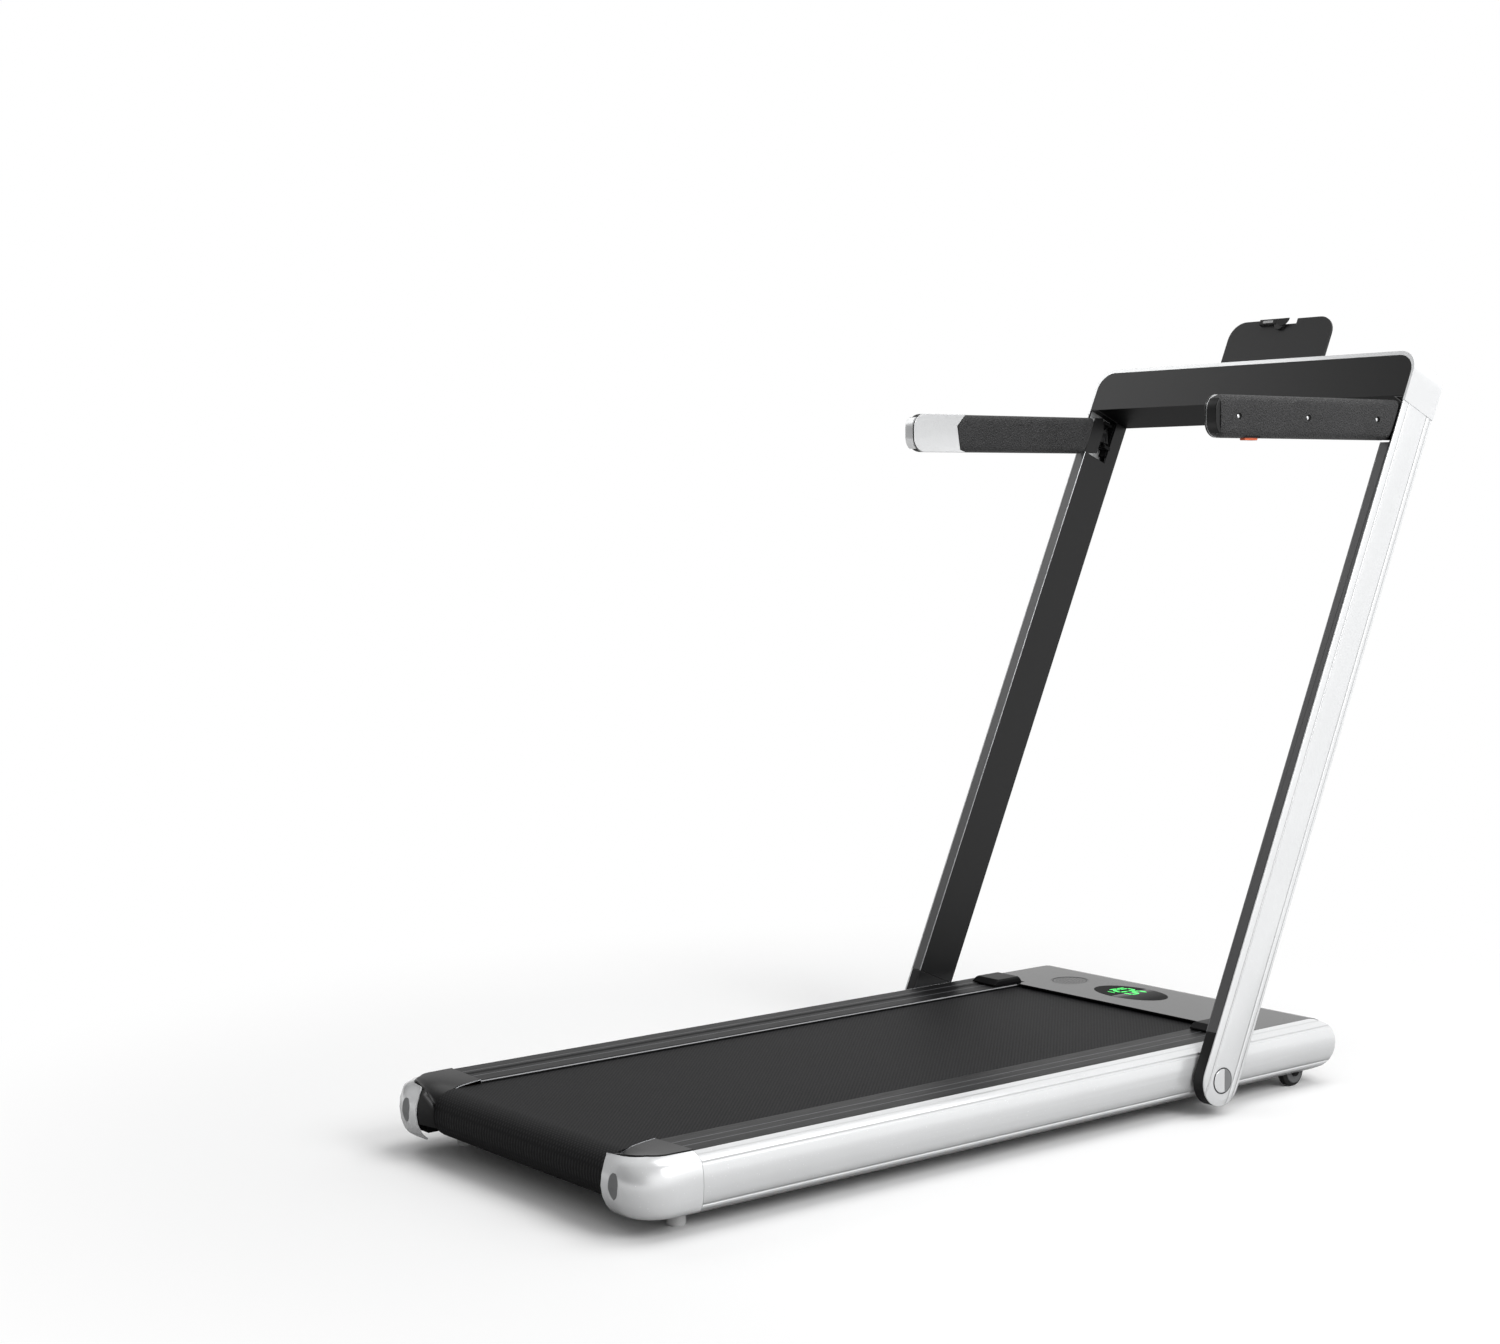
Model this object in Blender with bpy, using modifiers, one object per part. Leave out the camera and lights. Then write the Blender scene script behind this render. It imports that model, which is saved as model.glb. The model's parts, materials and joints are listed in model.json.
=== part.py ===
"""Folding treadmill: flat deck with motor, U-shaped frame on two pivots, two folding handles.

Metres, +Z up, +X to the user's right, +Y towards the motor. Y values below are measured in the deck's own
frame; the whole part is shifted by DECK_SHIFT, so that its overall box is centred on the origin.
"""
import math

import bmesh
import bpy
from mathutils import Matrix, Vector

# Driving dimensions of the deck
GAP = 0.0003
DECK_REAR = -0.592
DECK_FRONT = 0.672
RAIL_TOP = 0.098
PANEL_BOTTOM = 0.024
PANEL_HALF = 0.3035
PANEL_WALL = 0.0025
PANEL_END = 0.004
PANEL_FOLD = 0.0035
CORNER_RADIUS = 0.055
BELT_TOP = 0.092
BELT_HALF = 0.2030
BELT_THICK = 0.0018
ROLLER_Z = 0.060
RAIL_STEP = 0.0015
HOOD_WALL = 0.0025
BEAM_WIDTH = 0.030
BEAM_BOTTOM = 0.030
BEAM_TOP = 0.070
BEAM_WALL = 0.002
BOARD_THICK = 0.015
AXLE_RADIUS = 0.006
PULLEY_RADIUS = 0.030
PULLEY_WIDTH = 0.012
PULLEY_SPACE = 0.0035
MOTOR_PULLEY_RADIUS = 0.012
MOTOR_RADIUS = 0.027
MOTOR_HALF = 0.094
MOTOR_SHAFT = 0.004
BRACKET_THICK = 0.0025
WHEEL_RADIUS = 0.0225
WHEEL_WIDTH = 0.016
FOOT_RADIUS = 0.012
DISPLAY_X = -0.028
DISPLAY_LONG = 0.140
DISPLAY_SHORT = 0.080
SPEAKER_X = -0.164
SPEAKER_RADIUS = 0.030
COVER_HEIGHT = 0.009
INLET_X = 0.165
INLET_HALF = 0.0147
SWITCH_X = 0.116
SWITCH_HALF = 0.0077
SOCKET_Z = 0.043
SOCKET_HALF = 0.0097

# Places that follow the deck's ends and edges
DECK_SEAM = DECK_REAR + 0.093
REAR_ROLLER_Y = DECK_REAR + 0.049
BEAM_REAR = DECK_REAR + 0.026
FOOT_Y = DECK_REAR + 0.092
MEMBER_Y = DECK_REAR + 0.192
HOOD_REAR = DECK_FRONT - 0.177
HOOD_SEAM = DECK_FRONT - 0.1597
FRONT_ROLLER_Y = DECK_FRONT - 0.147
DISPLAY_Y = DECK_FRONT - 0.098
MOTOR_Y = DECK_FRONT - 0.072
WHEEL_Y = DECK_FRONT - 0.069
BEAM_FRONT = DECK_FRONT - 0.032
SOCKET_FACE = DECK_FRONT - 0.0035
RAIL_INNER = BELT_HALF + 0.0013
RAIL_OUTER = PANEL_HALF - 0.0208
RAIL_RIDGE = RAIL_OUTER - 0.0357
BEAM_INNER = BELT_HALF + 0.0287
BOARD_HALF = BEAM_INNER + 0.0183
WHEEL_X = BEAM_INNER + 0.0403
CAP_END = BEAM_INNER - 0.0102
COVER_INNER = RAIL_INNER + 0.0052
COVER_OUTER = COVER_INNER + 0.0525

# Driving dimensions of the folding frame, measured from its pivot
PIVOT_Y = 0.388
PIVOT_Z = 0.051
LEAN = math.radians(24.2)
SIN, COS = math.sin(LEAN), math.cos(LEAN)
BAR_INNER = PANEL_HALF + 0.004
BAR_WIDTH = 0.0225
BAR_DEPTH = 0.074
SKIN = 0.004
HOUSING_WALL = 0.0025
BOOT_TOP = 0.0585
CROSS_UNDER = 1.048
CROSS_HEIGHT = 0.074
CROSS_LIP = 0.0065
CROSS_CORNER = 0.034
TUBE_REAR = -0.010
TUBE_FRONT = 0.0340
TUBE_WALL = 0.0015
PIVOT_BOLT = 0.008
PIVOT_CAP = 0.018
BOSS_RADIUS = 0.0155
COVER_REAR = PIVOT_Y + 0.062
COVER_FRONT = PIVOT_Y + 0.123
BAR_OUTER = BAR_INNER + BAR_WIDTH
TUBE_INNER = BAR_INNER + 0.0028
TUBE_OUTER = BAR_OUTER - SKIN - 0.0032
CROSS_TOP = CROSS_UNDER + CROSS_HEIGHT
SHELL_SEAM = CROSS_UNDER - 0.008
TUBE_TOP = CROSS_TOP - 0.030
NOTCH_LOW = CROSS_UNDER - 0.076
HINGE_BACK_LOW = CROSS_UNDER - 0.063

# Driving dimensions of the handles and the tablet plate
HANDLE_LENGTH = 0.392
HANDLE_HEIGHT = 0.060
HANDLE_THICK = 0.022
HANDLE_X = BAR_INNER + 0.0075
HANDLE_ROOT_W = -0.040
HANDLE_TIP_RADIUS = 0.022
HANDLE_LEVEL = CROSS_UNDER * COS - 0.0219
HANDLE_Z = {"right": HANDLE_LEVEL, "left": HANDLE_LEVEL - 0.0062}
HANDLE_LAYER = {"right": -0.025, "left": 0.001}
HINGE_X = {"right": BAR_INNER + 0.0034, "left": BAR_INNER + 0.008}
LUG_RADIUS = 0.006
LUG_HALF = 0.015
PIN_RADIUS = 0.003
EAR_THICK = 0.005
GRIP_ROUND = 0.006
CAP_LENGTH = 0.009
PLATE_THICK = 0.0035
PLATE_LENGTH = 0.092
PLATE_CHAMFER = 0.018
KEY_FROM_TIP = 0.080
TABLET_W = 0.009
TABLET_THICK = 0.004
TABLET_HINGE_W = TABLET_W + 0.0165
TABLET_HINGE_U = CROSS_TOP + 0.006
TABLET_HALF = 0.107
TABLET_TOP = CROSS_TOP + 0.095
TABLET_KNUCKLE = 0.0040
TABLET_PIN = 0.0015
TABLET_EYE = 0.052
TABLET_EYE_LONG = 0.014
TABLET_KNUCKLE_LONG = 0.0115

HALF_DEPTH = BAR_DEPTH / 2
ROLLER_RADIUS = BELT_TOP - ROLLER_Z - BELT_THICK - GAP
SIDES = {"right": 1, "left": -1}
CROSS_FRONT = CROSS_TOP * SIN + HALF_DEPTH * COS
TABLET_FRONT = TABLET_TOP * SIN + (TABLET_W + TABLET_THICK / 2) * COS
DECK_SHIFT = (DECK_REAR + PIVOT_Y + max(CROSS_FRONT, TABLET_FRONT)) / 2


def clear_scene():
    for item in list(bpy.data.objects):
        bpy.data.objects.remove(item, do_unlink=True)


def make_collections():
    for name in ("folding_treadmill", "cutters"):
        if name not in bpy.data.collections:
            bpy.context.scene.collection.children.link(bpy.data.collections.new(name))
    return bpy.data.collections["folding_treadmill"], bpy.data.collections["cutters"]


def paint(name, colour, rough, metallic=0.0):
    material = bpy.data.materials.new(name)
    material.use_nodes = True
    shader = material.node_tree.nodes["Principled BSDF"]
    shader.inputs["Base Color"].default_value = (*colour, 1.0)
    shader.inputs["Roughness"].default_value = rough
    shader.inputs["Metallic"].default_value = metallic
    material.diffuse_color = (*colour, 1.0)
    return material


def make_paints():
    return {
        "silver": paint("silver_lacquer", (0.80, 0.81, 0.82), 0.25, 0.3),
        "black": paint("satin_black_plastic", (0.030, 0.030, 0.031), 0.35),
        "gloss": paint("gloss_black_plastic", (0.012, 0.012, 0.012), 0.08),
        "belt": paint("belt_rubber", (0.022, 0.022, 0.023), 0.8),
        "rubber": paint("black_rubber", (0.020, 0.020, 0.020), 0.7),
        "pale_rubber": paint("pale_rubber", (0.72, 0.72, 0.72), 0.6),
        "foam": paint("grained_foam", (0.022, 0.022, 0.022), 0.6),
        "steel": paint("bright_steel", (0.60, 0.60, 0.60), 0.3, 1.0),
        "frame": paint("frame_paint", (0.05, 0.05, 0.055), 0.5, 0.2),
        "board": paint("deck_board_laminate", (0.16, 0.10, 0.06), 0.5),
        "circuit": paint("circuit_board", (0.02, 0.12, 0.05), 0.5),
        "casing": paint("motor_casing", (0.25, 0.25, 0.26), 0.4, 0.8),
        "orange": paint("orange_key_plastic", (0.80, 0.10, 0.03), 0.4),
        "grille": paint("speaker_grille_plastic", (0.06, 0.06, 0.06), 0.5),
    }


def add_object(name, mesh, where, material=None, parent=None, location=(0, 0, 0), rotation=(0, 0, 0)):
    obj = bpy.data.objects.new(name, mesh)
    where.objects.link(obj)
    obj.parent = parent
    obj.location = location
    obj.rotation_euler = rotation
    if material:
        mesh.materials.clear()
        mesh.materials.append(material)
    return obj


def close_mesh(mesh):
    """Weld the mesh and turn its faces outwards."""
    bm = bmesh.new()
    bm.from_mesh(mesh)
    bmesh.ops.remove_doubles(bm, verts=bm.verts, dist=0.000001)
    bmesh.ops.recalc_face_normals(bm, faces=bm.faces)
    bm.to_mesh(mesh)
    bm.free()
    return mesh


def evaluated_mesh(obj):
    """Plain mesh of an object with its modifiers, in the object's own frame; the object is removed."""
    graph = bpy.context.evaluated_depsgraph_get()
    mesh = bpy.data.meshes.new_from_object(obj.evaluated_get(graph), depsgraph=graph)
    mesh.name = obj.name
    bpy.data.objects.remove(obj, do_unlink=True)
    return close_mesh(mesh)


def box_mesh(name, size, bevel=0.0):
    bm = bmesh.new()
    bmesh.ops.create_cube(bm, size=1.0)
    bmesh.ops.scale(bm, vec=size, verts=bm.verts)
    if bevel:
        bmesh.ops.bevel(bm, geom=bm.edges[:], offset=bevel, segments=1, affect="EDGES")
    mesh = bpy.data.meshes.new(name)
    bm.to_mesh(mesh)
    bm.free()
    return mesh


def rod_mesh(name, radius, length, segments):
    bm = bmesh.new()
    bmesh.ops.create_cone(bm, cap_ends=True, segments=segments, radius1=radius, radius2=radius,
                          depth=length)
    mesh = bpy.data.meshes.new(name)
    bm.to_mesh(mesh)
    bm.free()
    mesh.shade_smooth()
    mesh.set_sharp_from_angle(angle=math.radians(35))
    return mesh


def turned_mesh(name, profile, segments=24):
    """Solid turned about local Z: the closed profile's points are (radius, z)."""
    mesh = bpy.data.meshes.new(name)
    edges = [(i, (i + 1) % len(profile)) for i in range(len(profile))]
    mesh.from_pydata([(radius, 0, z) for radius, z in profile], edges, [])
    obj = bpy.data.objects.new(name, mesh)
    bpy.context.scene.collection.objects.link(obj)
    screw = obj.modifiers.new("turn", "SCREW")
    screw.steps = screw.render_steps = segments
    screw.use_merge_vertices = True
    screw.merge_threshold = 0.00001
    turned = evaluated_mesh(obj)
    turned.set_sharp_from_angle(angle=math.radians(35))
    return turned


def outline_mesh(name, points, thick):
    """Flat outline in local XY, thick along local Z."""
    curve = bpy.data.curves.new(name, "CURVE")
    curve.dimensions = "2D"
    curve.fill_mode = "BOTH"
    curve.extrude = thick / 2
    spline = curve.splines.new("POLY")
    spline.points.add(len(points) - 1)
    for point, (u, v) in zip(spline.points, points):
        point.co = (u, v, 0, 1)
    spline.use_cyclic_u = True
    obj = bpy.data.objects.new(name, curve)
    bpy.context.scene.collection.objects.link(obj)
    mesh = evaluated_mesh(obj)
    bpy.data.curves.remove(curve)
    mesh.shade_smooth()
    mesh.set_sharp_from_angle(angle=math.radians(35))
    return mesh


PLANE_TURNS = {
    "X": (math.pi / 2, 0, math.pi / 2),
    "Y": (math.pi / 2, 0, 0),
    "Z": (0, 0, 0),
}


class Builder:
    """Adds named pieces under one parent, with one paint per piece."""

    def __init__(self, parts, cutters, paints):
        self.parts, self.cutters, self.paints = parts, cutters, paints

    def place(self, name, mesh, colour, parent, location=(0, 0, 0), rotation=(0, 0, 0)):
        if colour is None:
            obj = add_object(name, mesh, self.cutters, None, parent, location, rotation)
            obj.hide_render = True
            obj.display_type = "WIRE"
            return obj
        return add_object(name, mesh, self.parts, self.paints[colour], parent, location, rotation)

    def box(self, name, x, y, z, colour, parent, bevel=0.0):
        low, high = zip(*(sorted(pair) for pair in (x, y, z)))
        size = [b - a for a, b in zip(low, high)]
        middle = [(a + b) / 2 for a, b in zip(low, high)]
        return self.place(name, box_mesh(name, size, bevel), colour, parent, middle)

    def rod(self, name, radius, start, end, colour, parent, segments=24):
        start, end = Vector(start), Vector(end)
        turn = (end - start).to_track_quat("Z", "Y").to_euler()
        mesh = rod_mesh(name, radius, (end - start).length, segments)
        return self.place(name, mesh, colour, parent, (start + end) / 2, turn)

    def plate(self, name, points, span, axis, colour, parent):
        """Outline extruded along an axis: (y, z) points for X, (x, z) for Y and (x, y) for Z."""
        low, high = sorted(span)
        middle = (low + high) / 2
        location = {"X": (middle, 0, 0), "Y": (0, middle, 0), "Z": (0, 0, middle)}[axis]
        mesh = outline_mesh(name, points, high - low)
        return self.place(name, mesh, colour, parent, location, PLANE_TURNS[axis])

    def turned(self, name, profile, colour, parent, location, axis="X", segments=24):
        turn = {"X": (0, math.pi / 2, 0), "Y": (-math.pi / 2, 0, 0), "Z": (0, 0, 0)}[axis]
        return self.place(name, turned_mesh(name, profile, segments), colour, parent, location, turn)

    def cut(self, obj, *tools, operation="DIFFERENCE"):
        for tool in tools:
            boolean = obj.modifiers.new(operation.lower(), "BOOLEAN")
            boolean.operation = operation
            boolean.solver = "EXACT"
            boolean.object = tool
        return obj

    def join(self, obj, *tools):
        return self.cut(obj, *tools, operation="UNION")


def arc(centre, radius, start, end, steps):
    """Points on an arc; angles in degrees from the first axis towards the second."""
    points = []
    for i in range(steps + 1):
        angle = math.radians(start + (end - start) * i / steps)
        points.append((centre[0] + radius * math.cos(angle), centre[1] + radius * math.sin(angle)))
    return points


def mirrored(points, side):
    return [(side * a, b) for a, b in points]


def empty(name, where, parent, location, tilt=0.0):
    obj = bpy.data.objects.new(name, None)
    obj.empty_display_size = 0.03
    where.objects.link(obj)
    obj.parent = parent
    obj.location = location
    obj.rotation_euler = (tilt, 0, 0)
    return obj


NOSE_Z = (RAIL_TOP + PANEL_BOTTOM) / 2
NOSE_RADIUS = (RAIL_TOP - PANEL_BOTTOM) / 2


def nose_outline(front, inset, rear):
    """Side view of the deck with its half-round front, drawn inset from the outer skin."""
    radius = NOSE_RADIUS - inset
    centre = (front - NOSE_RADIUS, NOSE_Z)
    return [(rear, NOSE_Z - radius)] + arc(centre, radius, -90, 90, 12) + [(rear, NOSE_Z + radius)]


def panel_section(inset):
    """Side panel's outer skin seen from the rear, from its top inner edge down to the flange."""
    bulge = PANEL_HALF - inset
    return [
        (RAIL_OUTER + inset * 0.4, RAIL_TOP - inset * 1.2),
        (bulge - 0.0040, 0.0887 - inset * 0.6),
        (bulge - 0.0005, 0.0740),
        (bulge, ROLLER_Z),
        (bulge - 0.0010, 0.0460),
        (bulge - 0.0035, 0.0340),
        (bulge - 0.0075, 0.0280 + inset * 0.3),
        (bulge - 0.0135, PANEL_BOTTOM + inset),
    ]


FLANGE_X = BEAM_INNER + BEAM_WIDTH + GAP
BEAM_MIDDLE = BEAM_INNER + BEAM_WIDTH / 2
BOARD_TOP = BELT_TOP - BELT_THICK - GAP
BOARD_REAR, BOARD_FRONT = REAR_ROLLER_Y + 0.045, FRONT_ROLLER_Y - 0.045


def build_side_panel(b, deck, word, side):
    """Pressed aluminium side panel, hollow towards the deck, with a half-round front end."""
    panel_front = DECK_FRONT - PANEL_END
    fold = RAIL_TOP - PANEL_FOLD
    outer = [(RAIL_OUTER, fold), (FLANGE_X, fold), (FLANGE_X, PANEL_BOTTOM)]
    section = panel_section(0.0) + outer[::-1]
    panel = b.plate(f"side_panel_{word}", mirrored(section, side), (DECK_SEAM + GAP, panel_front), "Y",
                    "silver",
                    deck)
    nose = b.plate(f"panel_nose_{word}", nose_outline(panel_front, 0.0, DECK_SEAM - 0.01),
                   (side * (FLANGE_X - 0.01), side * (PANEL_HALF + 0.01)), "X", None, deck)
    b.cut(panel, nose, operation="INTERSECT")
    under = fold - PANEL_WALL
    inner = [(FLANGE_X - 0.01, PANEL_BOTTOM + PANEL_WALL), (FLANGE_X - 0.01, under), (RAIL_OUTER, under)]
    hollow = panel_section(PANEL_WALL)[1:] + inner
    cavity = b.plate(f"panel_cavity_{word}", mirrored(hollow, side), (DECK_SEAM - 0.01, DECK_FRONT), "Y",
                     None,
                     deck)
    cavity_nose = b.plate(f"panel_cavity_nose_{word}",
                          nose_outline(panel_front - PANEL_WALL, 0.0, DECK_SEAM - 0.02),
                          (side * (FLANGE_X - 0.02), side * (PANEL_HALF + 0.02)), "X", None, deck)
    b.cut(cavity, cavity_nose, operation="INTERSECT")
    hole = b.rod(f"panel_hole_{word}", BOSS_RADIUS + 0.001,
                 (side * (PANEL_HALF - 0.0135), PIVOT_Y, PIVOT_Z),
                 (side * (PANEL_HALF + 0.0065), PIVOT_Y, PIVOT_Z), None, deck)
    slot_end = WHEEL_X + WHEEL_WIDTH / 2 + 0.0045
    slot = b.box(f"wheel_slot_{word}", (side * (FLANGE_X - 0.005), side * slot_end),
                 (WHEEL_Y - 0.028, WHEEL_Y + 0.028), (0.010, PANEL_BOTTOM + 0.006), None, deck)
    clearing = b.box(f"hood_clearing_{word}", (side * (FLANGE_X - 0.01), side * RAIL_OUTER),
                     (DECK_FRONT - 0.047, DECK_FRONT + 0.01), (0.0, 0.12), None, deck)
    b.cut(panel, cavity, hole, slot, clearing)
    return panel


def build_foot_rail(b, deck, word, side):
    """Black foot rail: a flat outer band, a ridge and a lower inner band that laps the board's edge."""
    low_top = RAIL_TOP - RAIL_STEP
    section = [
        (RAIL_OUTER - GAP, RAIL_TOP), (RAIL_RIDGE + 0.0015, RAIL_TOP), (RAIL_RIDGE - 0.0015, low_top),
        (RAIL_INNER + 0.004, low_top), (RAIL_INNER, low_top - 0.002), (RAIL_INNER, BOARD_TOP + GAP),
        (BOARD_HALF + 0.0035, BOARD_TOP + GAP), (BOARD_HALF + 0.0035, RAIL_TOP - PANEL_FOLD + GAP),
        (RAIL_OUTER - GAP, RAIL_TOP - PANEL_FOLD + GAP),
    ]
    return b.plate(f"foot_rail_{word}", mirrored(section, side), (DECK_SEAM + GAP, HOOD_SEAM - GAP), "Y",
                   "black", deck)


def build_hinge_cover(b, deck, word, side):
    """Raised block on the foot rail beside the upright, with sloping ends."""
    seat = RAIL_TOP + GAP
    low_seat = RAIL_TOP - RAIL_STEP + GAP
    top = RAIL_TOP + COVER_HEIGHT
    section = [
        (COVER_INNER, low_seat), (RAIL_RIDGE - 0.0015, low_seat), (RAIL_RIDGE + 0.0015, seat),
        (COVER_OUTER, seat), (COVER_OUTER, top - 0.0025), (COVER_OUTER - 0.0025, top),
        (COVER_INNER + 0.0025, top),
        (COVER_INNER, top - 0.0025),
    ]
    cover = b.plate(f"hinge_cover_{word}", mirrored(section, side), (COVER_REAR, COVER_FRONT), "Y", "black",
                    deck)
    below, sill = RAIL_TOP - 0.008, RAIL_TOP + 0.002
    slopes = [(COVER_REAR, below), (COVER_FRONT, below), (COVER_FRONT - 0.001, sill),
              (COVER_FRONT - 0.007, top + 0.001), (COVER_REAR + 0.012, top + 0.001),
              (COVER_REAR + 0.001, sill)]
    wide = (side * (COVER_INNER - 0.01), side * (COVER_OUTER + 0.01))
    wedge = b.plate(f"cover_wedge_{word}", slopes, wide, "X", None, deck)
    return b.cut(cover, wedge, operation="INTERSECT")


def corner_path(inset_side, inset_corner, inset_end, steps=8):
    """Plan line round the rear corner, inset from the outermost bulge by a smoothly changing amount."""
    centre = (PANEL_HALF - CORNER_RADIUS, DECK_REAR + CORNER_RADIUS)
    stations = [(PANEL_HALF, DECK_SEAM - GAP, 0.0), (PANEL_HALF, (DECK_SEAM + centre[1]) / 2, 0.0)]
    for i in range(steps + 1):
        angle = 90.0 * i / steps
        x = centre[0] + CORNER_RADIUS * math.cos(math.radians(angle))
        y = centre[1] - CORNER_RADIUS * math.sin(math.radians(angle))
        stations.append((x, y, angle))
    stations.append(((centre[0] + CAP_END) / 2, DECK_REAR, 90.0))
    stations.append((CAP_END, DECK_REAR, 90.0))
    points = []
    last = len(stations) - 1
    for i, (x, y, angle) in enumerate(stations):
        share = i / last
        if share < 0.5:
            inset = inset_side + (inset_corner - inset_side) * share * 2
        else:
            inset = inset_corner + (inset_end - inset_corner) * (share - 0.5) * 2
        turn = math.radians(angle)
        points.append((x - inset * math.cos(turn), y + inset * math.sin(turn)))
    return points


def loft(name, rows, wall, offset):
    """Open grid of rows made a shell by Solidify."""
    mesh = bpy.data.meshes.new(name)
    width = len(rows[0])
    points = [point for row in rows for point in row]
    faces = []
    for i in range(len(rows) - 1):
        for j in range(width - 1):
            a = i * width + j
            faces.append((a, a + 1, a + width + 1, a + width))
    mesh.from_pydata(points, [], faces)
    obj = bpy.data.objects.new(name, mesh)
    bpy.context.scene.collection.objects.link(obj)
    solid = obj.modifiers.new("wall", "SOLIDIFY")
    solid.thickness = wall
    solid.offset = offset
    solid.use_even_offset = True
    shell = evaluated_mesh(obj)
    shell.shade_smooth()
    shell.set_sharp_from_angle(angle=math.radians(40))
    return shell


CAP_LEVELS = [
    # height, then inset at the side, the corner and the inner end
    (RAIL_TOP, 0.0208, 0.0262, 0.0095),
    (0.0945, 0.0140, 0.0150, 0.0088),
    (0.0887, 0.0040, 0.0060, 0.0062),
    (0.0740, 0.0005, 0.0010, 0.0018),
    (ROLLER_Z, 0.0, 0.0, 0.0),
    (0.0460, 0.0010, 0.0014, 0.0024),
    (0.0340, 0.0035, 0.0050, 0.0080),
    (0.0280, 0.0075, 0.0090, 0.0130),
    (PANEL_BOTTOM, 0.0135, 0.0160, 0.0180),
]


def build_rear_cap(b, deck, word, side):
    """Silver cap round the rear corner, with an oval opening over the belt adjuster."""
    rows = []
    for height, at_side, at_corner, at_end in CAP_LEVELS:
        rows.append([(side * x, y, height) for x, y in corner_path(at_side, at_corner, at_end)])
    mesh = loft(f"cap_outer_{word}", rows, PANEL_WALL, -1.0 if side > 0 else 1.0)
    cap = b.place(f"cap_outer_{word}", mesh, "silver", deck)
    oval = [(x, z) for x, z in arc((0, 0), 1.0, 0, 345, 23)]
    shape = [(side * BEAM_MIDDLE + x * 0.0075, ROLLER_Z + 0.003 + z * 0.0150) for x, z in oval]
    opening = b.plate(f"adjuster_opening_{word}", shape, (DECK_REAR - 0.02, DECK_REAR + 0.030), "Y", None,
                      deck)
    return b.cut(cap, opening)


GUARD_LINE = [
    # rim beside the belt, from the rail down round the roller: distance from the deck's rear end, and height
    (0.0920, 0.0960), (0.0585, 0.0925), (0.0476, 0.0888), (0.0366, 0.0830), (0.0287, 0.0748),
    (0.0240, 0.0641), (0.0237, 0.0537), (0.0276, 0.0407),
]


def build_guard(b, deck, word, side):
    """Black corner guard: flat on top, dished down to a rim that follows the belt round the roller."""
    edge = corner_path(0.0208 + GAP, 0.0262 + GAP * 3, 0.0095 + GAP * 14)
    inner_x = RAIL_INNER + 0.0016
    end_x = CAP_END - GAP
    outer = [(x, y, RAIL_TOP) for x, y in edge[:-1]]
    drop = [(0.0128, 0.0940), (0.0095, 0.0880), (0.0055, 0.0760), (0.0040, 0.0640), (0.0060, 0.0480)]
    outer += [(end_x, DECK_REAR + inset, height) for inset, height in drop]
    count = len(outer)
    rim = []
    for i in range(count):
        place = i / (count - 1) * (len(GUARD_LINE) - 1)
        k = min(int(place), len(GUARD_LINE) - 2)
        t = place - k
        y = DECK_REAR + GUARD_LINE[k][0] * (1 - t) + GUARD_LINE[k + 1][0] * t
        z = GUARD_LINE[k][1] * (1 - t) + GUARD_LINE[k + 1][1] * t
        rim.append((inner_x, y, z))
    rows = []
    for share in (0.0, 0.35, 0.7, 1.0):
        row = []
        for (x0, y0, z0), (x1, y1, z1) in zip(rim, outer):
            row.append((side * (x0 + (x1 - x0) * share), y0 + (y1 - y0) * share, z0 + (z1 - z0) * share))
        rows.append(row)
    mesh = loft(f"cap_guard_{word}", rows, 0.0018, 1.0 if side > 0 else -1.0)
    return b.place(f"cap_guard_{word}", mesh, "black", deck)


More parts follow.
